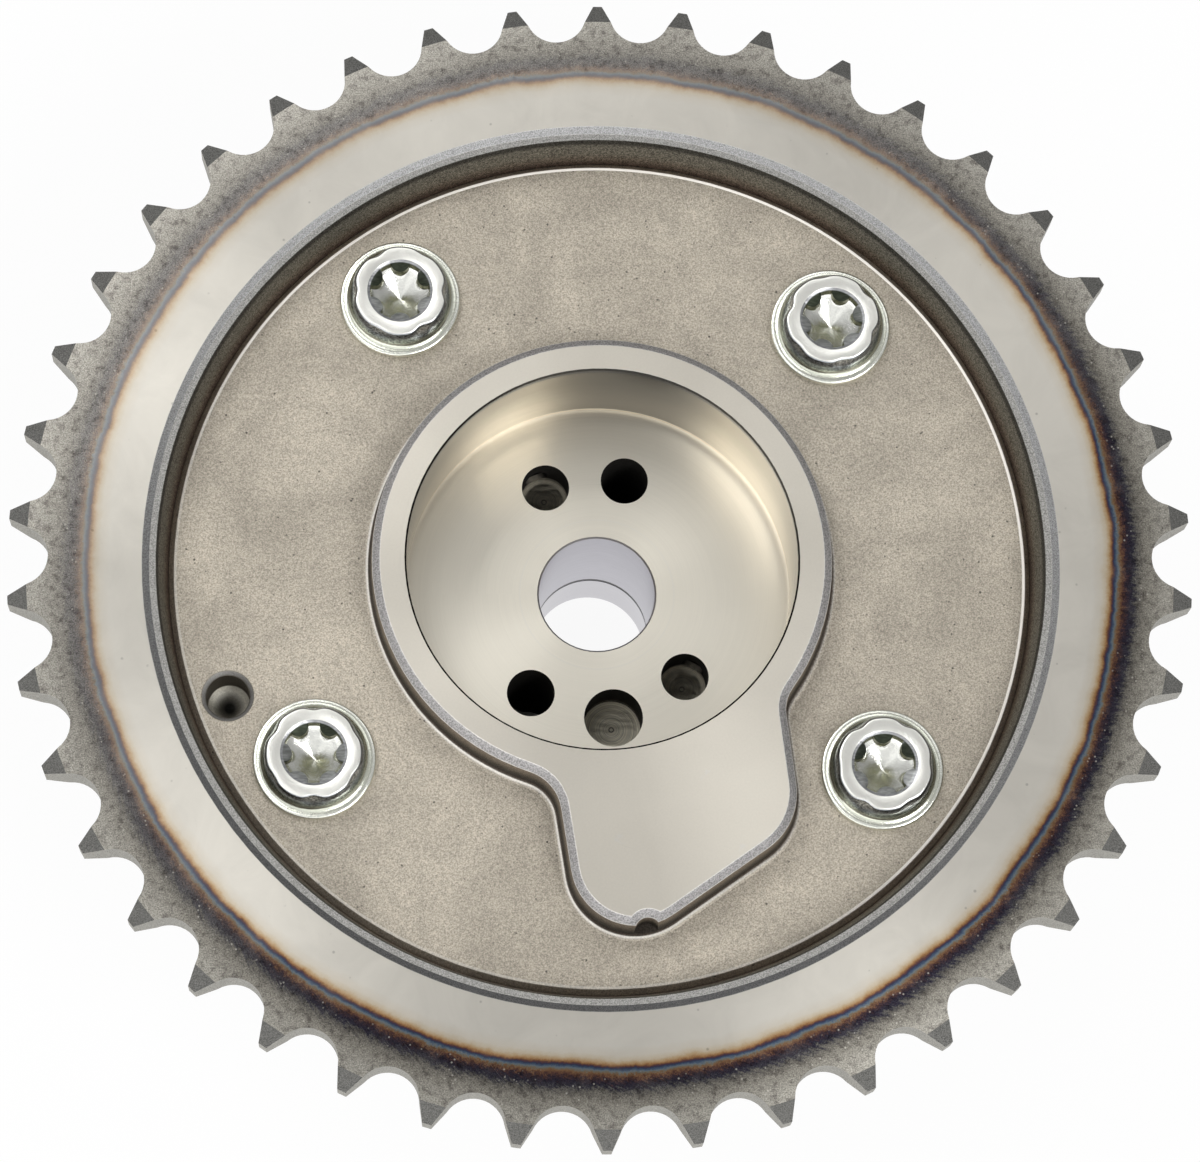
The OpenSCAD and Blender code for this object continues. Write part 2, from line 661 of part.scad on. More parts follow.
// Bowed leaf spring that lies against radius r and bows toward the other side
module leaf_spring(r, bow) {
    half = asin(leaf_chord / 2 / leaf_bend_r);
    translate([r + bow * (leaf_bend_r + leaf_t), leaf_w / 2, rotor_z + rotor_h / 2])
        rotate([90, 0, 0]) linear_extrude(leaf_w) intersection() {
            difference() {
                circle(r = leaf_bend_r + leaf_t);
                circle(r = leaf_bend_r);
            }
            rotate(bow > 0 ? 180 : 0) wedge(leaf_bend_r, -half, half);
        }
}

module vane_seal(i) {
    color([0.22, 0.20, 0.18]) rotate(seal_angle(i)) seal_bar(chamber_r - seal_gap, true);
}

module vane_spring(i) {
    color([0.72, 0.72, 0.74]) rotate(seal_angle(i)) leaf_spring(vane_slot_r, 1);
}

module housing_seal(i) {
    color([0.22, 0.20, 0.18]) rotate(lobe_angles[i]) seal_bar(hub_r + seal_gap, false);
}

module housing_spring(i) {
    color([0.72, 0.72, 0.74]) rotate(lobe_angles[i]) leaf_spring(lobe_slot_r, -1);
}

module lock_pin() {
    color([0.74, 0.73, 0.70]) translate(polar(pin_reach, wide_mid)) rotate_extrude() polygon([
        [0, pin_tip_z], [nose_tip_r, pin_tip_z], [nose_base_r, pin_body_z], [pin_r, pin_body_z],
        [pin_r, pin_back_z], [pin_spring_bore_r, pin_back_z], [pin_spring_bore_r, spring_to_z],
        [0, spring_to_z]]);
}

module lock_pin_retainer() {
    color([0.70, 0.66, 0.50]) translate(polar(pin_reach, wide_mid)) translate([0, 0, rotor_z])
        difference() {
            cylinder(r = pin_bore_r - press_clear, h = retainer_t);
            translate([0, 0, -over]) cylinder(r = retainer_vent_r, h = retainer_t + 2 * over);
        }
}

// Compression spring: a round wire swept along a helix between its two seats
module lock_pin_spring() {
    rings = spring_turns * spring_steps;
    rise = spring_to_z - spring_from_z - 2 * spring_wire_r - 2 * press_clear;
    base_z = spring_from_z + spring_wire_r + press_clear;
    points = [for (k = [0:rings], s = [0:spring_sides - 1])
        let (a = 360 * k / spring_steps, b = 360 * s / spring_sides,
            r = spring_coil_r + spring_wire_r * cos(b))
            [r * cos(a), r * sin(a), base_z + rise * k / rings + spring_wire_r * sin(b)]];
    walls = [for (k = [0:rings - 1], s = [0:spring_sides - 1])
        let (t = (s + 1) % spring_sides)
            [k * spring_sides + s, k * spring_sides + t,
            (k + 1) * spring_sides + t, (k + 1) * spring_sides + s]];
    caps = [[for (s = [spring_sides - 1:-1:0]) s],
        [for (s = [0:spring_sides - 1]) rings * spring_sides + s]];
    color([0.70, 0.70, 0.72]) translate(polar(pin_reach, wide_mid))
        polyhedron(points, concat(walls, caps));
}

module lock_bush() {
    inner_r = nose_base_r + lock_bush_clear;
    color([0.62, 0.60, 0.58]) translate(polar(pin_reach, wide_mid)) rotate_extrude() polygon([
        [inner_r + lock_bush_chamfer, rear_z], [lock_bush_r, rear_z],
        [lock_bush_r, rear_z + lock_bush_length], [inner_r, rear_z + lock_bush_length],
        [inner_r, rear_z + lock_bush_chamfer]]);
}

// Six-pointed star of the socket
module star_plan() {
    difference() {
        circle(r = star_r);
        for (k = [0:5]) rotate(30 + 60 * k) translate([star_waist_r + star_rib_r, 0])
            circle(r = star_rib_r);
    }
}

// Profile of the head: rounded flange rim, hollow dish, upright side and rounded shoulder
function head_profile() =
    let (rim = flange_t / 4, shoulder = head_r - head_top_r, dish = flange_r - head_r)
    [[0, 0], [flange_r - rim, 0], [flange_r, rim], [flange_r, flange_t - rim],
        [flange_r - rim, flange_t], [flange_r - dish / 2, flange_t],
        [head_r + dish / 4, flange_t - rim / 2], [head_r, flange_t + rim],
        [head_r - shoulder / 8, head_h - 1.5 * shoulder],
        [head_r - shoulder / 3, head_h - 0.6 * shoulder],
        [head_top_r + shoulder / 4, head_h - shoulder / 8], [head_top_r, head_h], [0, head_h]];

module flange_bolt(i) {
    sink = star_sink_r - star_waist_r;
    color([0.78, 0.79, 0.72]) translate(polar(bolt_reach, lobe_angles[i]))
        translate([0, 0, plate_z]) rotate(star_turns[i]) difference() {
            union() {
                rotate_extrude() polygon(head_profile());
                translate([0, 0, bolt_end_chamfer - bolt_length])
                    cylinder(r = bolt_r - thread_clear, h = bolt_length - bolt_end_chamfer);
                translate([0, 0, -bolt_length]) cylinder(r1 = bolt_r - thread_clear - bolt_end_chamfer,
                    r2 = bolt_r - thread_clear, h = bolt_end_chamfer);
            }
            translate([0, 0, head_h - star_depth]) linear_extrude(star_depth + over) star_plan();
            translate([0, 0, head_h - star_depth - star_cone_depth])
                cylinder(r1 = 0, r2 = star_waist_r, h = star_cone_depth);
            translate([0, 0, head_h - sink / 2])
                cylinder(r1 = star_waist_r, r2 = star_sink_r, h = sink / 2);
        }
}

sprocket_housing();
rear_plate();
front_plate();
rotor();
centre_bush();
for (i = [0:lobe_count - 1]) {
    vane_seal(i);
    vane_spring(i);
    housing_seal(i);
    housing_spring(i);
    flange_bolt(i);
}
lock_pin();
lock_pin_spring();
lock_pin_retainer();
lock_bush();
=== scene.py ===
"""Cam phaser: finishes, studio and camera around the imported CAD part, all in its frame and in metres."""

import json
import logging
import math
from collections.abc import Sequence
from dataclasses import dataclass
from enum import Enum

import bpy
from mathutils import Matrix, Vector

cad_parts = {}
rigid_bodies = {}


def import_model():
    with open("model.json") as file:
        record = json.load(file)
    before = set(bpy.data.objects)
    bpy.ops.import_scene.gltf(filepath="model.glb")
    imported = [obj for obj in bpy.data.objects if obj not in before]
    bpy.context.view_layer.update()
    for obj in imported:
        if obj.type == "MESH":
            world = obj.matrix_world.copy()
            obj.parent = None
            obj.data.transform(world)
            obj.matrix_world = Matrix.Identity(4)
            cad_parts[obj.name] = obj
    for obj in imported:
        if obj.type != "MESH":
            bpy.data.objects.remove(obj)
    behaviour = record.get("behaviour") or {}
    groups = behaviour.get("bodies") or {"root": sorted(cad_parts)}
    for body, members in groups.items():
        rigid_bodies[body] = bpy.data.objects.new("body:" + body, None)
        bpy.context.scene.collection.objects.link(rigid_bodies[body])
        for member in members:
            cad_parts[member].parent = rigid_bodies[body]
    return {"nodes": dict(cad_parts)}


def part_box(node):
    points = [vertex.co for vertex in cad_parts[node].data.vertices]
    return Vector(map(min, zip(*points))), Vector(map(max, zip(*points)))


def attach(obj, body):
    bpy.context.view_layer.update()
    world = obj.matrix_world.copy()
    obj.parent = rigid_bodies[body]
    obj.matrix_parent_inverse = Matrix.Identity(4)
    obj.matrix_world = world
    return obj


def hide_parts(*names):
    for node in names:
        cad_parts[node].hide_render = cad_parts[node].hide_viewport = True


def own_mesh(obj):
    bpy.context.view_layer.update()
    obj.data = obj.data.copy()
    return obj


for leftover in list(bpy.data.objects):
    bpy.data.objects.remove(leftover)
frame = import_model()
bpy.context.view_layer.update()

Colour = tuple[float, float, float]
Socket = bpy.types.NodeSocket
Value = Socket | float | Sequence[float]
Stops = Sequence[tuple[float, Colour]]

LOG = logging.getLogger("cam_phaser")
MM = 1000.0


class Body(Enum):
    """Bodies that the pieces ride on."""

    HOUSING = "housing"
    ROTOR = "rotor"
    LOCK_PIN = "lock_pin"


class Lay(Enum):
    """How the last tool left its marks on a surface."""

    CIRCULAR = "circular"
    NONE = "none"


class Graph:
    """Node tree of one finish, with short calls for the nodes that a finish is made of.

    Lengths in it are millimetres in the frame of the part.
    """

    def __init__(self, name: str) -> None:
        """Makes an empty material of that name."""
        self.material = bpy.data.materials.new(name)
        self.material.use_nodes = True
        self.tree = self.material.node_tree
        self.tree.nodes.clear()
        place = self.add("ShaderNodeTexCoord").outputs["Object"]
        self.place = self.vector("SCALE", place, scale=MM)
        split = self.add("ShaderNodeSeparateXYZ", {"Vector": self.place})
        self.x, self.y, self.z = split.outputs
        self.radius = self.math("SQRT", self.math("ADD", self.math("MULTIPLY", self.x, self.x),
                                                  self.math("MULTIPLY", self.y, self.y)))
        self.angle = self.math("ARCTAN2", self.y, self.x)
        facing = self.add("ShaderNodeSeparateXYZ",
                          {"Vector": self.add("ShaderNodeNewGeometry").outputs["Normal"]})
        self.up = facing.outputs["Z"]
        self.back = facing.outputs["Y"]

    def add(self, kind: str, inputs: dict[str | int, Value] | None = None,
            **settings: object) -> bpy.types.Node:
        """Adds a node.

        Args:
            kind: Blender's name of the node type.
            inputs: what goes into its sockets, by name or place.
            settings: the node's own properties.

        Returns:
            The new node.
        """
        node = self.tree.nodes.new(kind)
        for key, setting in settings.items():
            setattr(node, key, setting)
        for key, value in (inputs or {}).items():
            self.put(node.inputs[key], value)
        return node

    def put(self, socket: Socket, value: Value) -> None:
        """Links a socket into another, or sets its constant."""
        if isinstance(value, bpy.types.NodeSocket):
            self.tree.links.new(value, socket)
        elif socket.type == "RGBA":
            socket.default_value = (*value, 1.0) if isinstance(value, tuple) else (value, value, value, 1.0)
        else:
            socket.default_value = value

    def math(self, operation: str, *values: Value) -> Socket:
        """Result of a Math node."""
        return self.add("ShaderNodeMath", dict(enumerate(values)), operation=operation).outputs[0]

    def vector(self, operation: str, *values: Value, scale: Value | None = None) -> Socket:
        """Vector that comes out of a Vector Math node."""
        inputs: dict[str | int, Value] = dict(enumerate(values))
        if scale is not None:
            inputs["Scale"] = scale
        return self.add("ShaderNodeVectorMath", inputs, operation=operation).outputs[0]

    def flat_place(self) -> Socket:
        """Place with its height left out."""
        return self.add("ShaderNodeCombineXYZ", {"X": self.x, "Y": self.y}).outputs[0]

    def polar_place(self) -> Socket:
        """Place as radius, length along the circle and height."""
        return self.add("ShaderNodeCombineXYZ", {
            "X": self.radius, "Y": self.math("MULTIPLY", self.angle, self.radius), "Z": self.z}).outputs[0]

    def from_axis(self, centres: Sequence[tuple[float, float]]) -> Socket:
        """Distance to the nearest of some upright axes, in millimetres."""
        nearest: Value = MM
        for x, y in centres:
            apart = self.add("ShaderNodeVectorMath", {0: self.flat_place(), 1: (x, y, 0.0)},
                             operation="DISTANCE").outputs["Value"]
            nearest = self.math("MINIMUM", nearest, apart)
        return nearest

    def rise(self, x: Value, low: float, high: float) -> Socket:
        """Smooth step of x, from 0 at low to 1 at high."""
        return self.add("ShaderNodeMapRange", {"Value": x, "From Min": low, "From Max": high},
                        interpolation_type="SMOOTHSTEP").outputs["Result"]

    def spread(self, x: Value, low: float, high: float) -> Socket:
        """Takes x from its range of 0 to 1 to the range of low to high."""
        return self.add("ShaderNodeMapRange", {"Value": x, "To Min": low, "To Max": high}).outputs["Result"]

    def band(self, x: Value, low: float, high: float, soft: float) -> Socket:
        """1 where x lies between low and high, with soft edges that wide."""
        return self.math("MULTIPLY", self.rise(x, low - soft, low + soft),
                         self.rise(x, high + soft, high - soft))

    def both(self, *masks: Value) -> Socket:
        """Product of masks."""
        result = masks[0]
        for mask in masks[1:]:
            result = self.math("MULTIPLY", result, mask)
        return result

    def noise(self, size: float, detail: float = 3.0, share: float = 0.5,
              place: Value | None = None, bend: float = 0.0) -> Socket:
        """Noise of about 0 to 1.

        Args:
            size: size of its largest patches.
            detail: octaves.
            share: strength of the fine octaves.
            place: where to look it up, the place in the frame if not given.
            bend: distortion.

        Returns:
            The noise's value.
        """
        return self.add("ShaderNodeTexNoise", {
            "Vector": self.place if place is None else place, "Scale": 1 / size, "Detail": detail,
            "Roughness": share, "Distortion": bend}).outputs[0]

    def pits(self, size: float, low: float, high: float) -> Socket:
        """Round specks: 1 in a speck, 0 between them."""
        cell = self.add("ShaderNodeTexVoronoi", {"Vector": self.place, "Scale": 1 / size})
        return self.rise(cell.outputs["Distance"], high, low)

    def mix(self, share: Value, a: Value, b: Value) -> Socket:
        """Colour between a and b."""
        node = self.add("ShaderNodeMix", data_type="RGBA")
        for name, value in (("Factor_Float", share), ("A_Color", a), ("B_Color", b)):
            self.put(next(s for s in node.inputs if s.identifier == name), value)
        return next(s for s in node.outputs if s.identifier == "Result_Color")

    def times(self, colour: Value, other: Value) -> Socket:
        """Colour times a colour or number."""
        node = self.add("ShaderNodeMix", data_type="RGBA", blend_type="MULTIPLY")
        for name, value in (("Factor_Float", 1.0), ("A_Color", colour), ("B_Color", other)):
            self.put(next(s for s in node.inputs if s.identifier == name), value)
        return next(s for s in node.outputs if s.identifier == "Result_Color")

    def ramp(self, x: Value, low: float, high: float, stops: Stops) -> Socket:
        """Colour of x along stops that are given at values from low to high."""
        node = self.add("ShaderNodeValToRGB", {"Fac": self.add(
            "ShaderNodeMapRange", {"Value": x, "From Min": low, "From Max": high}).outputs["Result"]})
        line = node.color_ramp
        for index, (at, colour) in enumerate(stops):
            share = (at - low) / (high - low)
            stop = line.elements[index] if index < 2 else line.elements.new(share)
            stop.position = share
            stop.color = (*colour, 1.0)
        return node.outputs["Color"]

    def scratches(self, angle: float, length: float, width: float, above: float) -> Socket:
        """Broken straight scratches.

        Args:
            angle: their direction.
            length: rough length.
            width: rough width.
            above: noise level above which one shows.

        Returns:
            1 on a scratch and 0 off it.
        """
        turned = self.add("ShaderNodeVectorRotate", {"Vector": self.place, "Angle": angle},
                          rotation_type="Z_AXIS").outputs[0]
        drawn = self.vector("MULTIPLY", turned, (1 / length, 1 / width, 0.0))
        return self.rise(self.noise(1.0, 2.0, 0.6, drawn), above, above + 0.05)

    def shade(self, colour: Value, roughness: Value, *, metallic: float = 1.0, height: Value | None = None,
              depth: float = 0.02, lay: Lay = Lay.NONE, grain: Value = 0.0) -> bpy.types.Material:
        """Closes the graph with its shader.

        Args:
            colour: base colour.
            roughness: roughness.
            metallic: share of metal.
            height: surface height from 0 to 1, for the bump.
            depth: what a height of 1 stands for.
            lay: direction of the tool marks.
            grain: how much the marks stretch the highlights, where lay isn't NONE.

        Returns:
            The finished material.
        """
        shader = self.add("ShaderNodeBsdfPrincipled",
                          {"Base Color": colour, "Roughness": roughness, "Metallic": metallic})
        if lay is Lay.CIRCULAR:
            tangent = self.add("ShaderNodeTangent", direction_type="RADIAL", axis="Z")
            self.put(shader.inputs["Tangent"], tangent.outputs[0])
            self.put(shader.inputs["Anisotropic"], grain)
            self.put(shader.inputs["Anisotropic Rotation"], 0.25)
        if height is not None:
            bump = self.add("ShaderNodeBump", {"Height": height, "Strength": 1.0, "Distance": depth / MM})
            self.put(shader.inputs["Normal"], bump.outputs[0])
        self.add("ShaderNodeOutputMaterial", {"Surface": shader.outputs[0]})
        return self.material


@dataclass(frozen=True)
class TintedSprocketSteel:
    """Ground and heat-tinted face of the chain wheel, with sintered steps, bevels and flanks, painted edge
    highlights, painted light on the chamfer and painted shadow on the recess wall.
    """

    clean: Colour = (0.69, 0.66, 0.595)
    bevel: Colour = (0.155, 0.153, 0.145)
    step: Colour = (0.345, 0.34, 0.325)
    chamfer: Colour = (0.27, 0.27, 0.27)
    flank: Colour = (0.36, 0.35, 0.32)
    # Colour of the light scratches, and of the painted highlights along the edges of the ring face and the
    # step.
    scratch_and_edge_highlight: Colour = (0.62, 0.61, 0.58)
    face_z: float = 36.0
    ring_r: float = 42.15
    step_r: float = 41.48
    recess_r: float = 40.85
    bevel_r: float = 52.68

    def tint_stops(self) -> Stops:
        """Heat colours along the radius, as shares of the clean steel."""
        return (
            (45.2, (1.0, 1.0, 1.0)), (46.0, (0.96, 0.93, 0.89)), (46.4, (0.88, 0.79, 0.66)),
            (46.72, (0.70, 0.50, 0.30)), (46.9, (0.46, 0.25, 0.12)), (47.05, (0.16, 0.08, 0.08)),
            (47.2, (0.055, 0.065, 0.135)), (47.36, (0.10, 0.15, 0.25)), (47.47, (0.20, 0.25, 0.30)),
            (47.58, (0.22, 0.20, 0.17)), (47.72, (0.26, 0.155, 0.09)), (47.92, (0.17, 0.09, 0.065)),
            (48.2, (0.07, 0.045, 0.055)), (48.6, (0.035, 0.032, 0.055)), (48.9, (0.05, 0.05, 0.075)),
            (49.15, (0.11, 0.11, 0.12)), (49.5, (0.20, 0.195, 0.19)), (50.2, (0.34, 0.335, 0.32)),
            (52.0, (0.52, 0.52, 0.51)))

    def wall_and_shadow_stops(self) -> Stops:
        """Colours up the wall of the recess, from the plate to the step: darker by the plate as a painted
        contact shadow, and darkest just under the step.
        """
        return (
            (31.9, (0.12, 0.09, 0.07)), (32.6, (0.165, 0.135, 0.105)), (33.4, (0.175, 0.16, 0.13)),
            (34.7, (0.165, 0.155, 0.13)), (35.1, (0.06, 0.057, 0.05)))

    def make(self) -> bpy.types.Material:
        """Builds the material."""
        g = Graph("tinted_sprocket_steel")
        face = g.both(g.rise(g.up, 0.975, 0.995), g.rise(g.z, self.face_z - 0.1, self.face_z - 0.05))
        wander = g.math("MULTIPLY", g.math("SUBTRACT", g.noise(6.0, 4.0, 0.55), 0.5), 1.1)
        ripple = g.math("MULTIPLY", g.math("SUBTRACT", g.noise(0.9, 3.0, 0.6), 0.5), 0.35)
        rays = g.noise(1.0, 3.0, 0.6, g.vector("MULTIPLY", g.polar_place(), (0.7, 2.6, 0.0)))
        ragged = g.both(g.rise(g.radius, 47.9, 48.9), g.math("SUBTRACT", rays, 0.5), 1.9)
        dots = g.math("SUBTRACT", g.noise(0.22, 3.0, 0.7), 0.5)
        dots = g.both(dots, g.spread(g.rise(g.radius, 47.3, 48.2), 0.25, 1.6))
        ragged = g.math("ADD", ragged, dots)
        burnt_r = g.math("ADD", g.math("ADD", g.radius, ragged), g.math("ADD", wander, ripple))
        tint = g.ramp(burnt_r, 45.2, 52.0, self.tint_stops())
        toward = g.math("COSINE", g.math("SUBTRACT", g.angle, math.radians(-55)))
        strength = g.math("ADD", g.spread(g.rise(toward, -0.85, 0.6), 0.70, 1.0),
                          g.math("MULTIPLY", g.math("SUBTRACT", g.noise(3.0, 4.0, 0.6), 0.5), 0.22))
        tinted = g.times(self.clean, g.mix(strength, (1.0, 1.0, 1.0), tint))
        mottle = g.both(g.rise(g.radius, 46.9, 48.2), g.spread(g.noise(0.8, 5.0, 0.65), -0.9, 1.1))
        tinted = g.times(tinted, g.mix(g.rise(mottle, 0.0, 0.6), (1.0, 1.0, 1.0), (0.40, 0.38, 0.39)))
        streaked = g.both(g.rise(g.radius, 47.5, 48.3), g.spread(rays, -0.45, 0.55), 0.6)
        tinted = g.times(tinted, g.math("SUBTRACT", 1.0, streaked))
        speckle = g.spread(g.rise(g.noise(0.13, 3.0, 0.75), 0.2, 0.8), 0.35, 1.7)
        tinted = g.times(tinted, g.mix(g.rise(g.radius, 47.3, 48.6), (1.0, 1.0, 1.0), speckle))
        freckles = g.both(g.rise(g.radius, 47.2, 48.4), g.pits(0.55, 0.08, 0.22),
                          g.rise(g.noise(1.6, 2.0), 0.48, 0.6))
        tinted = g.mix(g.math("MULTIPLY", freckles, 0.42), tinted, self.clean)
        stains = g.both(g.pits(1.3, 0.06, 0.14), g.rise(g.noise(2.2, 2.0), 0.56, 0.64))
        tinted = g.mix(g.math("MULTIPLY", stains, 0.45), tinted, g.times(tinted, 0.3))
        clouds = g.spread(g.noise(7.0, 4.0, 0.6, bend=1.2), 0.85, 1.12)
        tinted = g.times(tinted, clouds)
        light_scratch = g.both(g.scratches(0.9, 9.0, 0.045, 0.72), g.rise(g.radius, 47.0, 48.0))
        dark_scratch = g.math("MAXIMUM", g.scratches(-0.5, 6.0, 0.05, 0.745),
                              g.scratches(1.35, 5.0, 0.04, 0.74))
        tinted = g.mix(g.math("MULTIPLY", light_scratch, 0.35), tinted, self.scratch_and_edge_highlight)
        tinted = g.mix(g.math("MULTIPLY", dark_scratch, 0.45), tinted, g.times(tinted, 0.5))
        grit = g.noise(0.11, 3.0, 0.7)
        on_chamfer = g.band(g.radius, self.step_r, self.ring_r, 0.02)
        # Painted light and shade: the chamfer is painted lighter on the side toward 90 degrees and darker on
        # the opposite side.
        chamfer_light_side = g.math("COSINE", g.math("SUBTRACT", g.angle, math.radians(90)))
        chamfer = g.times(self.chamfer, g.spread(g.rise(chamfer_light_side, -0.9, 0.9), 0.62, 1.10))
        rough_colour = g.mix(on_chamfer, self.flank, chamfer)
        in_step = g.band(g.radius, self.recess_r + 0.06, self.step_r - 0.01, 0.02)
        rough_colour = g.mix(in_step, rough_colour, self.step)
        in_wall = g.both(g.rise(g.radius, self.recess_r + 0.06, self.recess_r + 0.02),
                         g.rise(g.z, 31.3, 31.5))
        wall_grain = g.spread(g.rise(g.noise(0.22, 3.0, 0.7), 0.25, 0.75), 0.45, 1.55)
        # Recess wall, with its painted contact shadow by the plate.
        wall = g.times(g.ramp(g.z, 31.9, 35.1, self.wall_and_shadow_stops()), wall_grain)
        rough_colour = g.mix(in_wall, rough_colour, wall)
        tip = g.both(g.rise(g.radius, self.bevel_r - 0.1, self.bevel_r), g.rise(g.up, 0.6, 0.9))
        rough_colour = g.mix(tip, rough_colour, self.bevel)
        rough_colour = g.times(rough_colour, g.spread(g.rise(grit, 0.2, 0.8), 0.40, 1.60))
        # Painted highlights: bright lines along the edge of the ring face and, fainter, along the step's
        # edge.
        edge_highlights = g.math("MAXIMUM", g.band(g.radius, self.ring_r - 0.05, self.ring_r, 0.03),
                      g.both(g.band(g.radius, self.step_r - 0.04, self.step_r + 0.02, 0.03), 0.5))
        edge_highlights = g.both(edge_highlights, g.rise(g.z, 35.2, 35.5), g.spread(grit, 0.3, 1.2))
        rough_colour = g.mix(g.math("MULTIPLY", edge_highlights, 0.6), rough_colour, self.scratch_and_edge_highlight)
        colour = g.mix(face, rough_colour, tinted)
        roughness = g.mix(face, g.mix(on_chamfer, 0.62, 0.42),
                          g.mix(g.rise(g.radius, 46.5, 48.5), 0.32, 0.46))
        height = g.mix(face, grit, g.times(g.noise(0.25, 2.0), 0.05))
        return g.shade(colour, roughness, height=height, depth=0.05, lay=Lay.CIRCULAR,
                       grain=g.math("MULTIPLY", face, 0.8))


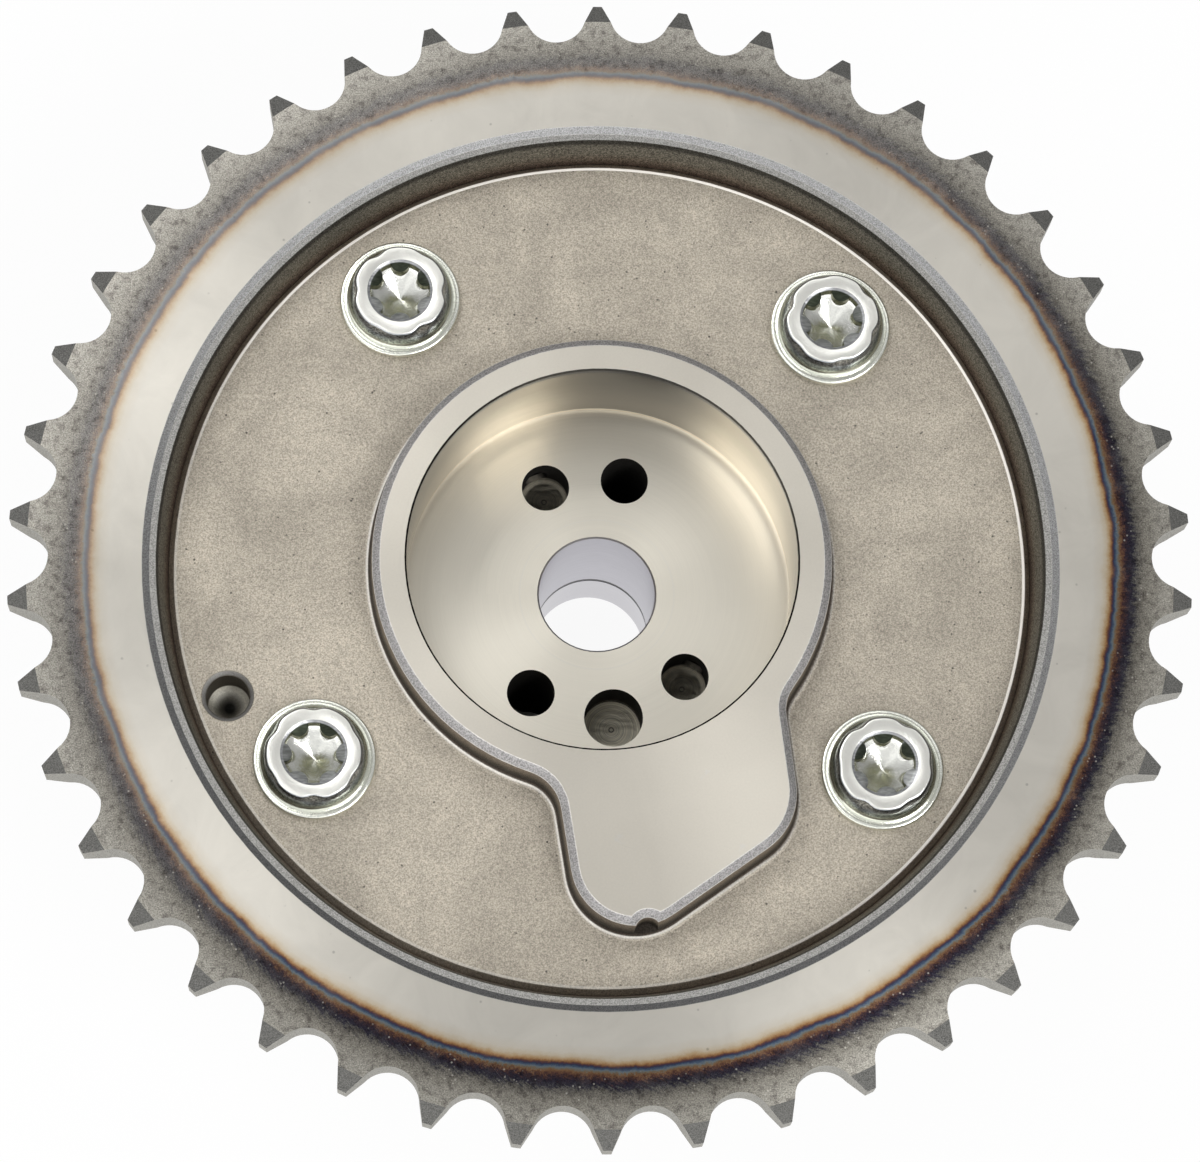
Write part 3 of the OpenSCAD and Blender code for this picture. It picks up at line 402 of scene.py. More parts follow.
@dataclass(frozen=True)
class SinteredPlateSteel:
    """Rear plate: sintered face, dark pressed skirt, ground boss and honed bore, with painted highlights on
    the plate's rim, the boss's edges and the foot of the bore, and painted shade in the bore.
    """

    sinter: Colour = (0.44, 0.40, 0.335)
    ground: Colour = (0.71, 0.67, 0.59)
    honed: Colour = (0.20, 0.172, 0.122)
    plate_z: float = 32.05
    face_z: float = 36.0
    bevel_h: float = 0.6
    bore_r: float = 18.0
    rear_z: float = 22.9
    relief_z: float = 25.4
    plate_r: float = 39.9
    hole_x: float = -34.33
    hole_y: float = -12.09

    def skirt_stops(self) -> Stops:
        """Colours up the side of the boss, from the plate to its bevel."""
        return (
            (32.05, (0.60, 0.57, 0.52)), (32.3, (0.12, 0.10, 0.085)), (32.7, (0.05, 0.043, 0.036)),
            (33.4, (0.09, 0.077, 0.063)), (34.3, (0.22, 0.185, 0.145)), (35.1, (0.30, 0.25, 0.205)),
            (35.36, (0.33, 0.30, 0.265)), (35.44, (0.36, 0.35, 0.345)), (36.0, (0.41, 0.40, 0.40)))

    def hole_stops(self) -> Stops:
        """Colours of the tooling hole, from its axis out to the bevel round it."""
        return (
            (0.0, (0.02, 0.02, 0.02)), (0.4, (0.03, 0.03, 0.028)), (0.95, (0.28, 0.27, 0.24)),
            (1.5, (0.75, 0.73, 0.65)), (1.92, (0.60, 0.58, 0.50)), (1.98, (0.13, 0.11, 0.08)),
            (2.1, (0.30, 0.29, 0.28)), (2.3, (0.42, 0.41, 0.39)), (2.5, (0.36, 0.35, 0.33)))

    def make(self) -> bpy.types.Material:
        """Builds the material."""
        g = Graph("sintered_plate_steel")
        flat = g.rise(g.up, 0.97, 0.995)
        face = g.both(flat, g.rise(g.z, self.face_z - 0.1, self.face_z - 0.05))
        bore = g.both(g.rise(g.radius, self.bore_r + 0.45, self.bore_r + 0.35),
                      g.rise(g.z, self.face_z, self.face_z - 0.02))
        raised = g.rise(g.z, self.plate_z + 0.03, self.plate_z + 0.08)
        grain = g.noise(0.15, 3.0, 0.75)
        clouds = g.noise(5.0, 4.0, 0.6)
        specks = g.both(g.pits(0.6, 0.10, 0.24), g.rise(g.noise(0.7, 2.0), 0.57, 0.66))
        sinter = g.times(self.sinter, g.spread(g.rise(grain, 0.2, 0.8), 0.50, 1.50))
        sinter = g.times(sinter, g.spread(g.rise(clouds, 0.25, 0.75), 0.93, 1.09))
        sinter = g.times(sinter, g.spread(g.rise(g.noise(13.0, 3.0, 0.6, bend=0.8), 0.3, 0.7), 0.91, 1.10))
        sinter = g.mix(g.math("MULTIPLY", specks, 0.8), sinter, (0.06, 0.055, 0.05))
        # Painted highlight: a bright line along the plate's rounded rim, strongest on the side toward 50
        # degrees and faint on the far side.
        toward = g.math("COSINE", g.math("SUBTRACT", g.angle, math.radians(50)))
        rim = g.both(g.band(g.radius, self.plate_r - 0.74, self.plate_r - 0.44, 0.04),
                     g.spread(g.rise(toward, -0.6, 0.1), 0.25, 1.0))
        sinter = g.mix(rim, sinter, (1.0, 0.98, 0.94))
        from_hole = g.add("ShaderNodeVectorMath", {
            0: g.flat_place(), 1: (self.hole_x, self.hole_y, 0.0)}, operation="DISTANCE").outputs["Value"]
        in_hole = g.both(g.rise(from_hole, 2.6, 2.5), g.rise(g.z, self.plate_z, self.plate_z - 0.1))
        hole = g.times(g.ramp(from_hole, 0.0, 2.5, self.hole_stops()), g.spread(grain, 0.5, 1.5))
        sinter = g.mix(in_hole, sinter, hole)
        skirt = g.times(g.ramp(g.z, self.plate_z, self.face_z, self.skirt_stops()),
                        g.spread(g.rise(grain, 0.2, 0.8), 0.4, 1.6))
        # Painted highlights: bright lines along the top and foot of the boss's bevel, and along the skirt's
        # foot on the side toward 215 degrees only.
        upper = g.band(g.z, self.face_z - 0.05, self.face_z + 0.05, 0.03)
        lower = g.band(g.z, self.face_z - self.bevel_h - 0.06, self.face_z - self.bevel_h + 0.02, 0.04)
        away = g.math("COSINE", g.math("SUBTRACT", g.angle, math.radians(215)))
        foot = g.both(g.band(g.z, self.plate_z + 0.02, self.plate_z + 0.18, 0.03), g.rise(away, -0.1, 0.5))
        edge_highlight_lines = g.math("MAXIMUM", g.math("MAXIMUM", g.both(upper, 0.8), g.both(lower, 0.8)),
                       g.both(foot, 0.95))
        skirt = g.mix(g.both(edge_highlight_lines, g.spread(grain, 0.6, 1.2)), skirt, (0.98, 0.96, 0.92))
        sheen = g.noise(9.0, 3.0, 0.5, bend=0.6)
        ground = g.times(self.ground, g.spread(sheen, 0.92, 1.07))
        ground = g.times(ground, g.spread(g.noise(0.2, 2.0), 0.96, 1.04))
        ground = g.mix(g.both(g.scratches(0.3, 7.0, 0.05, 0.73), 0.4), ground, g.times(ground, 0.6))
        wiped = g.both(g.rise(g.noise(4.5, 3.0, 0.6, bend=1.5), 0.66, 0.76), 0.30)
        ground = g.mix(wiped, ground, (0.70, 0.71, 0.73))
        hairs = g.math("MAXIMUM", g.scratches(-0.6, 6.0, 0.04, 0.735), g.scratches(1.1, 5.0, 0.04, 0.745))
        ground = g.mix(g.both(hairs, 0.35), ground, (0.85, 0.84, 0.80))
        streaks = g.noise(1.0, 3.0, 0.6, g.vector("MULTIPLY", g.polar_place(), (1.2, 0.3, 9.0)))
        honed = g.mix(g.rise(g.z, 25.5, 33.5), (0.375, 0.33, 0.255), self.honed)
        honed = g.times(honed, g.spread(streaks, 0.72, 1.22))
        shaded = g.math("COSINE", g.math("SUBTRACT", g.angle, math.radians(78)))
        honed = g.times(honed, g.spread(g.rise(shaded, 0.86, 1.0), 1.38, 0.42))
        # Painted highlight: a bright line at the foot of the bore.
        bore_foot_highlight = g.rise(g.z, self.rear_z + 0.6, self.rear_z + 0.3)
        honed = g.mix(g.both(bore_foot_highlight, 0.8), honed, (0.95, 0.86, 0.72))
        # Painted shade: the relief groove is darkened.
        relief = g.band(g.z, self.relief_z - 0.45, self.relief_z + 0.02, 0.05)
        honed = g.mix(g.both(relief, 0.8), honed, g.times(honed, 0.25))
        # Painted shade: the top of the bore, just under the face, is painted nearly black.
        bore_top_shade = g.rise(g.z, self.face_z - 0.9, self.face_z - 0.5)
        honed = g.mix(g.both(bore_top_shade, 0.93), honed, (0.025, 0.024, 0.022))
        colour = g.mix(raised, sinter, skirt)
        colour = g.mix(face, colour, ground)
        colour = g.mix(bore, colour, honed)
        smooth = g.math("MAXIMUM", face, bore)
        dull = g.mix(g.math("MAXIMUM", rim, g.both(raised, edge_highlight_lines)), g.mix(raised, 0.55, 0.6), 0.85)
        roughness = g.mix(smooth, dull, g.mix(bore, 0.36, 0.22))
        height = g.mix(smooth, g.math("SUBTRACT", grain, g.both(specks, 0.6)),
                       g.times(g.noise(0.3, 2.0), 0.04))
        return g.shade(colour, roughness, height=height, depth=0.045, lay=Lay.CIRCULAR,
                       grain=g.math("MULTIPLY", face, 0.75))


@dataclass(frozen=True)
class TurnedRotorSteel:
    """Rotor: face turned in fine rings, lavender centre bore, drilled holes with walls painted nearly black
    as shade and drill points painted bright as light.
    """

    face: Colour = (0.98, 0.93, 0.81)
    bore: Colour = (0.56, 0.55, 0.595)
    # Hole walls painted nearly black: painted shade.
    hole: Colour = (0.035, 0.033, 0.03)
    # Lighter wall colour at the foot of the blind holes, where the painted shade eases.
    hole_foot: Colour = (0.50, 0.47, 0.40)
    # Drill points painted bright, standing in for light in the holes.
    drill_point_painted_light: Colour = (1.0, 0.96, 0.84)
    side: Colour = (0.55, 0.53, 0.49)
    face_z: float = 22.87
    bore_r: float = 5.5
    ring_r: float = 7.3
    bush_z: float = 7.73
    floor_z: float = 17.97
    holes: tuple[tuple[float, float], ...] = (
        (-4.769, 10.465), (8.202, -8.060), (2.743, 11.168), (-6.314, -9.612), (1.433, -12.015))

    def make(self) -> bpy.types.Material:
        """Builds the material."""
        g = Graph("turned_rotor_steel")
        top = g.both(g.rise(g.up, 0.97, 0.995), g.rise(g.z, self.face_z - 0.1, self.face_z - 0.05))
        rings = g.noise(1.0, 3.0, 0.7, g.vector("MULTIPLY", g.polar_place(), (9.0, 0.05, 1.0)))
        face = g.times(self.face, g.spread(rings, 0.94, 1.06))
        face = g.times(face, g.spread(g.noise(8.0, 3.0), 0.96, 1.04))
        witness = g.band(g.radius, self.ring_r - 0.06, self.ring_r + 0.06, 0.05)
        face = g.mix(g.both(witness, 0.22), face, (0.9, 0.88, 0.82))
        in_bore = g.rise(g.radius, self.bore_r + 0.4, self.bore_r + 0.3)
        in_hub = g.rise(g.radius, 18.0, 17.9)
        cone = g.both(g.rise(g.z, self.floor_z + 0.02, self.floor_z - 0.02), g.rise(g.up, 0.3, 0.4))
        reach = g.from_axis(self.holes)
        outward = g.add("ShaderNodeCombineXYZ", {"X": g.both(reach, 9.0)}).outputs[0]
        drill_rings = g.noise(1.0, 2.0, 0.6, outward)
        drill_point_painted_light = g.times(self.drill_point_painted_light, g.spread(g.rise(drill_rings, 0.3, 0.7), 0.72, 1.05))
        dimple = g.band(reach, 0.16, 0.26, 0.04)
        drill_point_painted_light = g.mix(g.both(dimple, 0.8), drill_point_painted_light, (0.12, 0.11, 0.10))
        blind = g.rise(g.from_axis((self.holes[0], self.holes[1], self.holes[4])), 2.8, 2.7)
        foot = g.both(blind, g.rise(g.z, self.floor_z + 1.0, self.floor_z + 0.2))
        wall = g.mix(foot, self.hole, self.hole_foot)
        holes = g.mix(cone, g.times(wall, g.spread(g.noise(0.4, 3.0), 0.5, 1.5)), drill_point_painted_light)
        side = g.mix(in_hub, self.side, holes)
        smear = g.noise(1.0, 4.0, 0.65, g.vector("MULTIPLY", g.polar_place(), (1.0, 0.5, 4.0)))
        bore = g.times(self.bore, g.spread(smear, 0.86, 1.08))
        joint = g.rise(g.z, self.bush_z + 0.5, self.bush_z + 0.4)
        side = g.mix(in_bore, side, g.mix(joint, bore, (0.02, 0.02, 0.02)))
        colour = g.mix(top, side, face)
        in_holes = g.both(in_hub, g.rise(g.radius, self.bore_r + 0.3, self.bore_r + 0.4))
        roughness = g.mix(top, g.mix(in_holes, 0.35, g.mix(cone, 0.95, 0.85)), 0.29)
        height = g.mix(top, g.times(g.noise(0.2, 2.0), 0.1), g.times(rings, 0.12))
        return g.shade(colour, roughness, height=height, depth=0.02, lay=Lay.CIRCULAR,
                       grain=g.math("MULTIPLY", top, 0.65))


@dataclass(frozen=True)
class MachinedSteel:
    """Plain turned, ground or drawn steel of the smaller pieces and the front plate."""

    name: str
    colour: Colour
    roughness: float = 0.35
    ring_share: float = 0.06
    cloud_share: float = 0.05

    def make(self) -> bpy.types.Material:
        """Builds the material."""
        g = Graph(self.name)
        rings = g.noise(1.0, 3.0, 0.65, g.vector("MULTIPLY", g.polar_place(), (5.0, 0.06, 5.0)))
        clouds = g.noise(6.0, 3.0)
        colour = g.times(self.colour, g.spread(rings, 1 - self.ring_share, 1 + self.ring_share))
        colour = g.times(colour, g.spread(clouds, 1 - self.cloud_share, 1 + self.cloud_share))
        return g.shade(colour, g.spread(clouds, self.roughness - 0.05, self.roughness + 0.06),
                       height=rings, depth=0.006)


@dataclass(frozen=True)
class ZincPlate:
    """Pale zinc plating of the flange bolts: white lands and green flange, with painted shade on the sides
    of the head and in the socket.
    """

    axes: tuple[tuple[float, float], ...]
    seat_z: float
    head_h: float
    land: Colour = (0.92, 0.915, 0.86)
    floor: Colour = (0.84, 0.845, 0.80)
    sink: Colour = (0.36, 0.365, 0.375)
    lit_rib: Colour = (0.42, 0.43, 0.425)
    shaded_rib: Colour = (0.03, 0.035, 0.025)
    # Socket wall colour: painted shade on the steep walls.
    wall: Colour = (0.15, 0.15, 0.085)
    socket_r: float = 3.06
    cone_z: float = 0.3
    cone_slope: float = 0.607

    def flange_stops(self) -> Stops:
        """Colours from the side of the head out over the dish to the rim; the side of the head is painted
        dark as shade.
        """
        return (
            (4.1, (0.46, 0.48, 0.49)), (4.32, (0.28, 0.295, 0.31)), (4.48, (0.12, 0.13, 0.15)),
            (4.58, (0.17, 0.18, 0.17)), (4.70, (0.48, 0.50, 0.43)), (4.86, (0.72, 0.74, 0.63)),
            (5.17, (0.80, 0.815, 0.71)), (5.22, (0.70, 0.715, 0.625)), (5.27, (0.74, 0.755, 0.665)),
            (5.34, (0.88, 0.89, 0.81)), (5.65, (0.82, 0.83, 0.75)))

    def make(self) -> bpy.types.Material:
        """Builds the material."""
        g = Graph("zinc_plate")
        reach = g.from_axis(self.axes)
        height = g.math("SUBTRACT", g.z, self.seat_z)
        patches = g.noise(1.1, 4.0, 0.65, bend=0.6)
        fine = g.noise(0.17, 3.0, 0.6)
        flange = g.ramp(g.math("ADD", reach, g.math("MULTIPLY", g.math("SUBTRACT", patches, 0.5), 0.12)),
                        4.1, 5.65, self.flange_stops())
        on_land = g.both(g.rise(height, self.head_h - 0.14, self.head_h - 0.05), g.rise(g.up, 0.75, 0.93))
        in_socket = g.rise(reach, self.socket_r + 0.02, self.socket_r - 0.03)
        steep = g.rise(g.up, 0.62, 0.35)
        over_cone = g.math("SUBTRACT", height, g.math("MULTIPLY_ADD", reach, self.cone_slope, self.cone_z))
        low = g.rise(over_cone, 0.28, 0.14)
        streaks = g.noise(1.0, 3.0, 0.6, g.vector("MULTIPLY", g.place, (1.4, 5.0, 1.0)))
        # Painted light and shade: socket faces toward -Y are painted nearly black and faces toward +Y
        # lighter.
        rib = g.mix(g.rise(g.back, 0.25, -0.30), self.lit_rib, self.shaded_rib)
        sink = g.mix(g.rise(reach, 2.88, 2.78), self.sink, rib)
        sink = g.times(sink, g.spread(g.rise(streaks, 0.35, 0.7), 0.8, 1.3))
        socket = g.mix(low, sink, g.times(self.floor, g.spread(patches, 0.75, 1.1)))
        # Painted shade: the steep socket walls are painted dark olive.
        socket = g.mix(steep, socket, g.times(self.wall, g.spread(patches, 0.3, 2.2)))
        side = g.both(g.rise(height, 1.0, 1.5), g.rise(g.up, 0.6, 0.4))
        flange = g.times(flange, g.mix(side, (1.0, 1.0, 1.0), g.spread(g.rise(fine, 0.35, 0.65), 0.12, 1.9)))
        colour = g.mix(on_land, flange, g.times(self.land, g.spread(fine, 0.95, 1.03)))
        colour = g.mix(in_socket, colour, socket)
        roughness = g.mix(in_socket, g.spread(patches, 0.16, 0.30), g.mix(low, 0.42, 0.2))
        roughness = g.mix(on_land, roughness, 0.30)
        return g.shade(colour, roughness, height=g.math("ADD", g.both(patches, 0.6), g.both(fine, 0.4)),
                       depth=0.035)


@dataclass(frozen=True)
class SealPlastic:
    """Dark sealing plastic of the vane and housing seals."""

    colour: Colour = (0.055, 0.048, 0.04)

    def make(self) -> bpy.types.Material:
        """Builds the material."""
        g = Graph("seal_plastic")
        colour = g.times(self.colour, g.spread(g.noise(0.6, 4.0), 0.8, 1.25))
        return g.shade(colour, g.spread(g.noise(0.4, 2.0), 0.45, 0.6), metallic=0.0,
                       height=g.noise(0.2, 3.0), depth=0.01)


class Piece:
    """Carried-over CAD piece of the part."""

    def __init__(self, node: str) -> None:
        """Takes the CAD node of that name."""
        self.node = node
        self.shape: bpy.types.Object = frame["nodes"][node]

    def dress(self, material: bpy.types.Material) -> None:
        """Puts one material in every slot of the piece."""
        slots = self.shape.material_slots
        if not slots:
            self.shape.data.materials.append(material)
        for slot in slots:
            slot.material = material
        LOG.info("%s dressed in %s", self.node, material.name)


class RingSkin:
    """Closed skin over rings of equally many points, which starts and ends in a single point."""

    def __init__(self, axis: Vector) -> None:
        """Starts an empty skin about an upright axis, whose foot is in millimetres."""
        self.axis = axis
        self.rings: list[list[Vector]] = []

    def ring(self, points: Sequence[tuple[float, float, float]]) -> None:
        """Adds a ring of points given as radius, angle and height over the foot."""
        self.rings.append([self.axis + Vector((r * math.cos(a), r * math.sin(a), z)) for r, a, z in points])

    def close(self, name: str, start_z: float, end_z: float, bore_top_shade: float) -> bpy.types.Object:
        """Joins the rings into a mesh object.

        Args:
            name: name of the piece.
            start_z: height of the point before the first ring.
            end_z: height of the point after the last ring.
            bore_top_shade: angle above which an edge stays sharp.

        Returns:
            The new object.
        """
        count = len(self.rings[0])
        points = [point for ring in self.rings for point in ring]
        first, last = len(points), len(points) + 1
        points += [self.axis + Vector((0.0, 0.0, start_z)), self.axis + Vector((0.0, 0.0, end_z))]
        faces: list[tuple[int, ...]] = []
        for i in range(count):
            after = (i + 1) % count
            faces.append((first, after, i))
            for row in range(len(self.rings) - 1):
                low, high = row * count, (row + 1) * count
                faces.append((low + i, low + after, high + after, high + i))
            top = (len(self.rings) - 1) * count
            faces.append((top + i, top + after, last))
        mesh = bpy.data.meshes.new(name)
        mesh.from_pydata([tuple(point / MM) for point in points], [], faces)
        mesh.shade_smooth()
        mesh.set_sharp_from_angle(angle=bore_top_shade)
        piece = bpy.data.objects.new(name, mesh)
        bpy.context.scene.collection.objects.link(piece)
        return piece


@dataclass
class FlangeBolt:
    """Flange bolt with rolled thread, dished flange, dented head and six-pointed socket, in millimetres."""

    number: int
    turn: float
    head_h: float = 3.1
    land_r: float = 4.2
    dent: float = 0.36
    star_r: float = 2.8
    waist_r: float = 2.0
    rib_r: float = 0.95
    star_depth: float = 1.1
    cone_depth: float = 1.7
    sink_r: float = 3.05
    shank_r: float = 2.95
    pitch: float = 1.0
    thread_depth: float = 0.58
    thread_to: float = -11.0
    tip_chamfer: float = 0.7
    lobe_steps: int = 6
    rib_steps: int = 12

    def __post_init__(self) -> None:
        """Takes the seat and the length from the CAD bolt."""
        low, high = (Vector(corner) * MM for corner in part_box(self.node()))
        self.end_z = low.z - (high.z - self.head_h)
        self.seat = Vector(((low.x + high.x) / 2, (low.y + high.y) / 2, high.z - self.head_h))
        self.flange_r = (high.x - low.x) / 2

    def node(self) -> str:
        """Name of the CAD bolt."""
        return f"flange_bolt_{self.number}"

    def star(self) -> list[tuple[float, float]]:
        """Outline of the socket as radius and angle, lobe by lobe."""
        reach = self.waist_r + self.rib_r
        swing = math.acos((reach ** 2 + self.rib_r ** 2 - self.star_r ** 2) / (2 * reach * self.rib_r))
        shoulder = math.atan2(self.rib_r * math.sin(swing), reach - self.rib_r * math.cos(swing))
        half = math.pi / 6 - shoulder
        outline = []
        for sector in range(6):
            start = math.radians(self.turn) + sector * math.pi / 3
            for step in range(self.lobe_steps):
                outline.append((self.star_r, start + half * (2 * step / self.lobe_steps - 1)))
            for step in range(self.rib_steps):
                lean = swing * (2 * step / self.rib_steps - 1)
                x = reach - self.rib_r * math.cos(lean)
                y = self.rib_r * math.sin(lean)
                outline.append((math.hypot(x, y), start + math.pi / 6 + math.atan2(y, x)))
        return outline

    def head_profile(self) -> list[tuple[float, float, float]]:
        """Radius, height and share of the dents from under the flange to the land."""
        r, top, land = self.flange_r, self.head_h, self.land_r
        return [
            (r - 0.21, 0.0, 0.0), (r - 0.07, 0.05, 0.0), (r, 0.22, 0.0), (r, 0.52, 0.0),
            (r - 0.04, 0.66, 0.0), (r - 0.12, 0.74, 0.0), (r - 0.25, 0.77, 0.0), (r - 0.35, 0.78, 0.0),
            (r - 0.41, 0.78, 0.0), (r - 0.48, 0.79, 0.0), (r - 0.64, 0.83, 0.0), (r - 0.80, 0.92, 0.0),
            (r - 0.93, 1.08, 0.0), (r - 1.01, 1.30, 0.1), (r - 1.05, 1.60, 0.3), (r - 1.07, 2.00, 0.6),
            (r - 1.10, 2.40, 0.9), (land + 0.27, top - 0.42, 1.0), (land + 0.20, top - 0.22, 1.0),
            (land + 0.11, top - 0.08, 1.0), (land, top - 0.01, 1.0), (land - 0.10, top, 1.0)]

    def floor_z(self, reach: float) -> float:
        """Height of the socket's conical floor at a distance from the bolt's axis."""
        return self.head_h - self.star_depth - self.cone_depth * (1 - reach / self.star_r)

    def thread_radius(self, z: float, angle: float) -> float:
        """Radius of the rolled thread at a height and an angle, with its run-outs."""
        turn = (z / self.pitch - angle / math.tau) % 1.0
        flank = min(max((abs(2 * turn - 1) - 0.125) / 0.75, 0.0), 1.0)
        run_out = min(max((self.thread_to - z) / (2 * self.pitch), 0.0), 1.0)
        tip = self.shank_r - max(self.tip_chamfer - (z - self.end_z), 0.0)
        return min(self.shank_r - self.thread_depth * flank * run_out, tip)

    def shank(self, skin: RingSkin, angles: Sequence[float]) -> None:
        """Adds the thread, the shank and the fillet under the flange."""
        steps = round((self.thread_to - self.end_z) / self.pitch * 8)
        for step in range(steps + 1):
            z = self.end_z + step * self.pitch / 8
            skin.ring([(self.thread_radius(z, a), a, z) for a in angles])
        for radius, z in ((self.shank_r, -0.35), (self.shank_r + 0.05, -0.14), (self.shank_r + 0.2, 0.0)):
            skin.ring([(radius, a, z) for a in angles])

    def build(self, finish: bpy.types.Material) -> bpy.types.Object:
        """Builds the bolt in place of its CAD solid."""
        outline = self.star()
        start, count = math.radians(self.turn) - math.pi / 6, len(outline)
        even = [start + math.tau * (i + count / 12 - self.lobe_steps / 2) / count for i in range(count)]
        skin = RingSkin(self.seat)
        self.shank(skin, even)
        for radius, z, share in self.head_profile():
            dents = [self.dent * share * (0.5 + 0.5 * math.cos(6 * (a - math.radians(self.turn)))) ** 3
                     * (0.8 + 0.3 * math.sin(2.3 * a + self.number)) for a in even]
            skin.ring([(radius - cut, a, z) for a, cut in zip(even, dents)])
        top = self.head_h
        for radius, drop in ((self.sink_r + 0.06, 0.0), (self.sink_r, 0.025)):
            skin.ring([(radius, a, top - drop) for a in even])
        for spread, drop in ((1.02, 0.02), (1.0, 0.06)):
            skin.ring([(r * spread, a, top - (self.sink_r - r) / 2 - drop) for r, a in outline])
        for share in (0.3, 0.65, 0.94):
            skin.ring([(r, a, (top - (self.sink_r - r) / 2) * (1 - share) + self.floor_z(r) * share)
                       for r, a in outline])
        for share in (0.97, 0.8, 0.6, 0.4, 0.22, 0.08):
            skin.ring([(r * share, a, self.floor_z(r * share)) for r, a in outline])
        bolt = skin.close(f"bolt_{self.number}", self.end_z, self.floor_z(0.0), math.radians(38))
        bolt.data.materials.append(finish)
        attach(bolt, Body.HOUSING.value)
        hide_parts(self.node())
        LOG.info("bolt_%d modelled, %d faces", self.number, len(bolt.data.polygons))
        return bolt


@dataclass
class HousingAssembly:
    """Chain wheel with its housing, rear plate, front plate, lobe seals and bolts."""

    lobes: int = 4
    star_turns: tuple[float, ...] = (41.0, 0.0, 30.0, 2.0)

    def build(self) -> None:
        """Dresses every piece of the housing."""
        Piece("sprocket_housing").dress(TintedSprocketSteel().make())
        Piece("rear_plate").dress(SinteredPlateSteel().make())
        Piece("front_plate").dress(MachinedSteel("turned_plate_steel", (0.50, 0.49, 0.47), 0.38).make())
        plastic = SealPlastic().make()
        leaf = MachinedSteel("leaf_spring_steel", (0.62, 0.61, 0.60), 0.25).make()
        for number in range(1, self.lobes + 1):
            Piece(f"housing_seal_{number}").dress(plastic)
            Piece(f"housing_spring_{number}").dress(leaf)
        Piece("lock_bush").dress(MachinedSteel("lock_bush_steel", (0.46, 0.45, 0.44), 0.32).make())
        bolts = [FlangeBolt(number + 1, turn) for number, turn in enumerate(self.star_turns)]
        zinc = ZincPlate(tuple((bolt.seat.x, bolt.seat.y) for bolt in bolts),
                         bolts[0].seat.z, bolts[0].head_h).make()
        for bolt in bolts:
            bolt.build(zinc)


@dataclass
class RotorAssembly:
    """Rotor with its vane seals, their leaf springs and the centre bush."""

    vanes: int = 4

    def build(self) -> None:
        """Dresses every piece of the rotor."""
        Piece("rotor").dress(TurnedRotorSteel().make())
        Piece("centre_bush").dress(MachinedSteel("centre_bush_steel", (0.60, 0.59, 0.62), 0.3).make())
        plastic = bpy.data.materials["seal_plastic"]
        leaf = bpy.data.materials["leaf_spring_steel"]
        for number in range(1, self.vanes + 1):
            Piece(f"vane_seal_{number}").dress(plastic)
            Piece(f"vane_spring_{number}").dress(leaf)


@dataclass
class LockSpring:
    """Coil spring behind the lock pin, in millimetres."""

    turns: float = 7.0
    closed_turns: float = 0.8
    closed_pitch: float = 2.05
    wire_r: float = 0.4
    stroke: float = 3.6
    steps: int = 40
    sides: int = 12

    def lift(self, turn: float, height: float) -> float:
        """Height of the wire's middle after so many turns, over its lowest place."""
        closed_rise = self.closed_pitch * self.wire_r
        pitch = (height - 2 * closed_rise * self.closed_turns) / (self.turns - 2 * self.closed_turns)
        to_end = self.turns - turn
        if turn < self.closed_turns:
            return closed_rise * turn
        if to_end < self.closed_turns:
            return height - closed_rise * to_end
        return closed_rise * self.closed_turns + pitch * (turn - self.closed_turns)

    def build(self, finish: bpy.types.Material) -> None:
        """Builds the spring in place of its CAD solid."""
        low, high = (Vector(corner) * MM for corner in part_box("lock_pin_spring"))
        foot = Vector(((low.x + high.x) / 2, (low.y + high.y) / 2, low.z + self.wire_r))
        coil_r = (high.x - low.x) / 2 - self.wire_r
        rings, points = round(self.turns * self.steps), []
        for ring in range(rings + 1):
            turn = ring / self.steps
            height = self.lift(turn, high.z - low.z - 2 * self.wire_r)
            for side in range(self.sides):
                lean = math.tau * side / self.sides
                reach = coil_r + self.wire_r * math.cos(lean)
                around = Vector((math.cos(math.tau * turn), math.sin(math.tau * turn), 0.0)) * reach
                points.append(foot + around + Vector((0.0, 0.0, height + self.wire_r * math.sin(lean))))
        ends = [tuple(reversed(range(self.sides))), tuple(rings * self.sides + i for i in range(self.sides))]
        faces = list(ends)
        for ring in range(rings):
            start = ring * self.sides
            for side in range(self.sides):
                after = (side + 1) % self.sides
                faces.append((start + side, start + after,
                              start + self.sides + after, start + self.sides + side))
        mesh = bpy.data.meshes.new("lock_spring")
        mesh.from_pydata([point / MM for point in points], [], faces)
        mesh.polygons.foreach_set("use_smooth", [False] * len(ends) + [True] * (len(faces) - len(ends)))
        mesh.materials.append(finish)
        spring = bpy.data.objects.new("lock_spring", mesh)
        bpy.context.scene.collection.objects.link(spring)
        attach(spring, Body.ROTOR.value)
        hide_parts("lock_pin_spring")
        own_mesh(spring)
        LOG.info("lock_spring modelled, %d faces", len(mesh.polygons))


class LockAssembly:
    """Lock pin, its spring and the retainer behind it."""

    def build(self) -> None:
        """Dresses the pieces of the lock."""
        Piece("lock_pin").dress(MachinedSteel("lock_pin_steel", (0.66, 0.65, 0.62), 0.22).make())
        Piece("lock_pin_retainer").dress(MachinedSteel("retainer_steel", (0.62, 0.58, 0.46), 0.3).make())
        LockSpring().build(MachinedSteel("spring_wire", (0.60, 0.59, 0.58), 0.24).make())


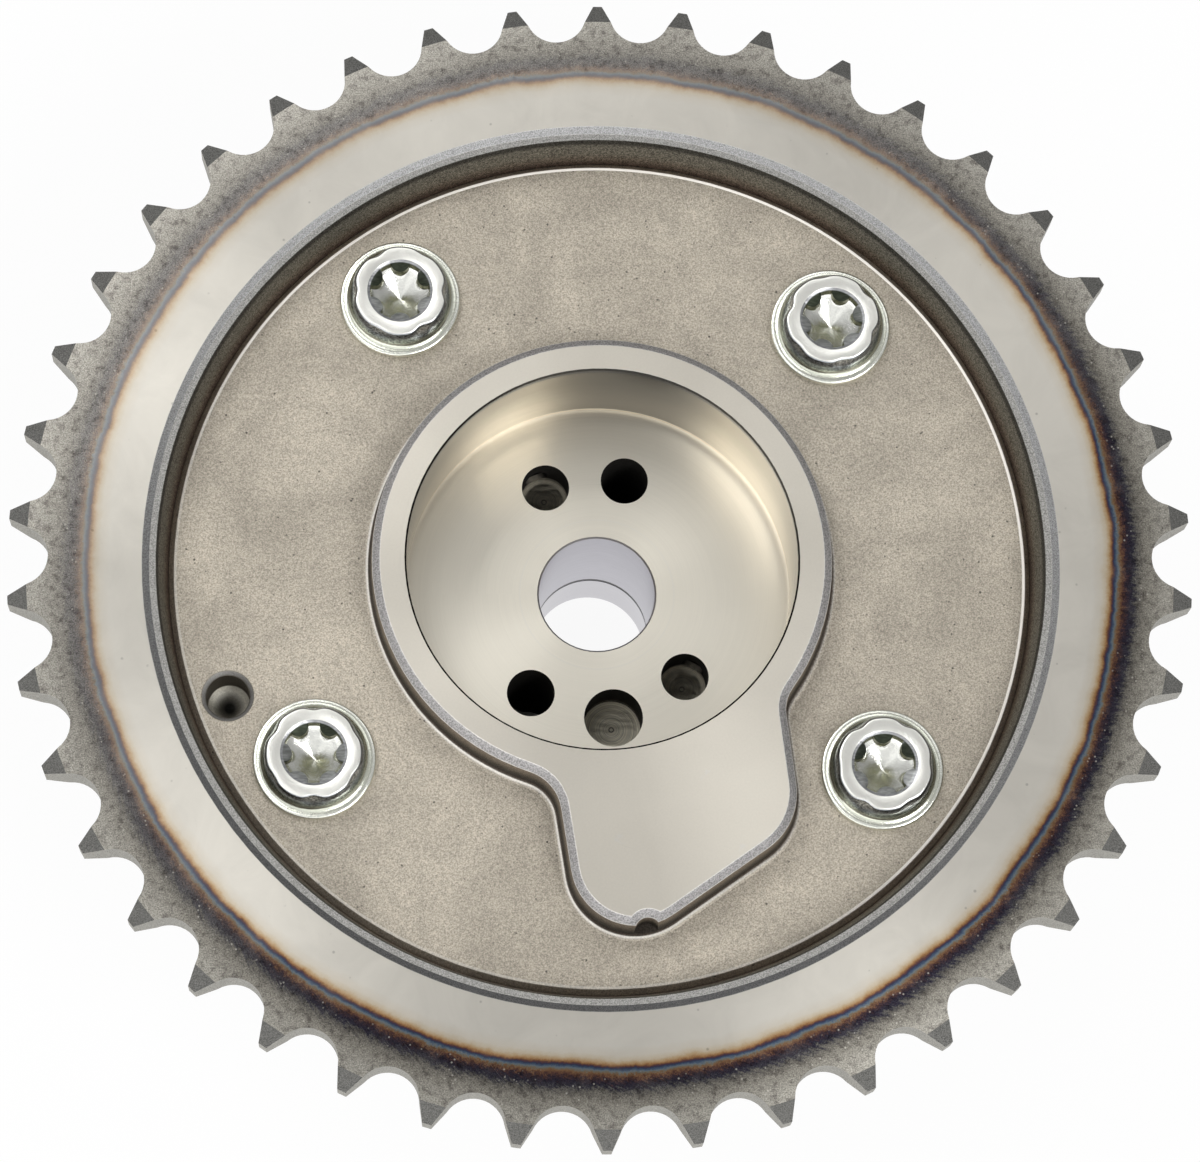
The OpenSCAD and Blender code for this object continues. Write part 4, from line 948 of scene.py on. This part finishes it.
@dataclass(frozen=True)
class SoftLamp:
    """Square soft lamp that hangs on a sphere round the part and looks at it."""

    name: str
    azimuth: float
    elevation: float
    level: float
    side: float = 0.4
    distance: float = 1.1
    aim_z: float = 0.03

    def hang(self) -> None:
        """Makes the lamp, with power for its level of brightness."""
        light = bpy.data.lights.new(self.name, "AREA")
        light.shape, light.size = "SQUARE", self.side
        light.energy = self.level * math.pi * self.side ** 2
        lamp = bpy.data.objects.new(self.name, light)
        across, turn = self.distance * math.cos(math.radians(self.elevation)), math.radians(self.azimuth)
        away = Vector((across * math.cos(turn), across * math.sin(turn),
                       self.distance * math.sin(math.radians(self.elevation))))
        lamp.location = away + Vector((0.0, 0.0, self.aim_z))
        lamp.rotation_mode = "QUATERNION"
        lamp.rotation_quaternion = away.to_track_quat("Z", "Y")
        bpy.context.scene.collection.objects.link(lamp)


@dataclass
class Studio:
    """Plain pale floor, soft lamps and an even pale surrounding."""

    floor_half: float = 2.5
    floor_z: float = -0.0002
    shown_share: float = 0.93
    overhead: float = 0.42
    bright_side: tuple[float, float, float] = (-0.45, -0.89, 0.0)
    low_all_round: float = 0.0
    low_front: float = 1.9
    lamps: tuple[SoftLamp, ...] = (
        SoftLamp("lamp_right", 316, 50, 9.6), SoftLamp("lamp_back", 90, 50, 1.5),
        SoftLamp("lamp_back_left", 135, 50, 5.1), SoftLamp("lamp_over_left", 180, 72, 2.2),
        SoftLamp("lamp_back_right", 45, 50, 0.9), SoftLamp("lamp_front_left", 225, 50, 0.5),
        SoftLamp("lamp_front", 264, 57, 0.65))

    def floor(self) -> None:
        """Lays the floor under the front face."""
        half = self.floor_half
        mesh = bpy.data.meshes.new("floor")
        level = self.floor_z
        corners = ((-half, -half), (half, -half), (half, half), (-half, half))
        mesh.from_pydata([(x, y, level) for x, y in corners], [], [(0, 1, 2, 3)])
        floor = bpy.data.objects.new("floor", mesh)
        bpy.context.scene.collection.objects.link(floor)
        g = Graph("floor_white")
        ray = g.add("ShaderNodeLightPath").outputs
        seen = g.math("MAXIMUM", g.math("MAXIMUM", ray["Is Camera Ray"], ray["Is Glossy Ray"]),
                      ray["Is Transmission Ray"])
        matt = g.add("ShaderNodeBsdfDiffuse", {"Color": (0.82, 0.82, 0.82)})
        glow = g.add("ShaderNodeEmission", {"Color": (1.0, 1.0, 1.0), "Strength": 1.0})
        both = g.add("ShaderNodeMixShader", {0: g.math("MULTIPLY", seen, self.shown_share),
                                             1: matt.outputs[0], 2: glow.outputs[0]})
        g.add("ShaderNodeOutputMaterial", {"Surface": both.outputs[0]})
        mesh.materials.append(g.material)

    def surround(self) -> None:
        """Sets the soft light from all sides, brighter low down and most of all in front."""
        world = bpy.data.worlds.new("studio")
        world.use_nodes = True
        tree = world.node_tree
        toward = tree.nodes.new("ShaderNodeTexCoord").outputs["Generated"]
        split = tree.nodes.new("ShaderNodeSeparateXYZ")
        tree.links.new(toward, split.inputs[0])
        along = tree.nodes.new("ShaderNodeVectorMath")
        along.operation = "DOT_PRODUCT"
        tree.links.new(toward, along.inputs[0])
        along.inputs[1].default_value = self.bright_side
        low = self.shift(tree, split.outputs["Z"], (0.92, 0.1), (0.0, 1.0))
        front = self.shift(tree, along.outputs["Value"], (-0.1, 0.9),
                           (self.low_all_round, self.low_all_round + self.low_front))
        glow = tree.nodes.new("ShaderNodeMath")
        glow.operation = "MULTIPLY_ADD"
        tree.links.new(low, glow.inputs[0])
        tree.links.new(front, glow.inputs[1])
        glow.inputs[2].default_value = self.overhead
        background = tree.nodes["Background"]
        background.inputs["Color"].default_value = (1.0, 1.0, 1.0, 1.0)
        tree.links.new(glow.outputs[0], background.inputs["Strength"])
        bpy.context.scene.world = world

    def shift(self, tree: bpy.types.NodeTree, x: Socket, given: tuple[float, float],
              wanted: tuple[float, float]) -> Socket:
        """Takes x smoothly from the given range to the wanted one."""
        node = tree.nodes.new("ShaderNodeMapRange")
        node.interpolation_type = "SMOOTHSTEP"
        tree.links.new(x, node.inputs["Value"])
        names = ("From Min", "From Max", "To Min", "To Max")
        for name, value in zip(names, (*given, *wanted)):
            node.inputs[name].default_value = value
        return node.outputs["Result"]

    def build(self) -> None:
        """Builds floor, lamps and surroundings."""
        self.floor()
        self.surround()
        for lamp in self.lamps:
            lamp.hang()
        LOG.info("studio built")


@dataclass
class ViewCamera:
    """Camera of the photograph: a long lens nearly over the part."""

    place: tuple[float, float, float] = (-0.018126, -0.109578, 0.430774)
    pitch: float = 0.2654
    roll: float = -0.0436
    focal_px: float = 4471.09
    image_width_px: float = 1200.0
    sensor: float = 36.0

    def build(self) -> None:
        """Makes the camera and hands it to the scene."""
        lens = bpy.data.cameras.new("camera")
        lens.sensor_width = self.sensor
        lens.lens = self.focal_px / self.image_width_px * self.sensor
        lens.clip_start, lens.clip_end = 0.01, 10.0
        camera = bpy.data.objects.new("camera", lens)
        turn = Matrix.Rotation(self.pitch, 4, "X") @ Matrix.Rotation(self.roll, 4, "Y")
        camera.matrix_world = Matrix.Translation(self.place) @ turn
        bpy.context.scene.collection.objects.link(camera)
        bpy.context.scene.camera = camera
        LOG.info("camera set, lens %.1f mm", lens.lens)


def write_sizes() -> None:
    """Brings the view layer up to date."""
    bpy.context.view_layer.update()


def main() -> None:
    """Builds the part's looks, the studio and the camera in order."""
    logging.basicConfig(level=logging.INFO, format="%(name)s: %(message)s")
    bpy.context.scene.view_settings.view_transform = "Standard"
    for assembly in (HousingAssembly(), RotorAssembly(), LockAssembly(), Studio(), ViewCamera()):
        assembly.build()
    write_sizes()


if __name__ == "__main__":
    main()
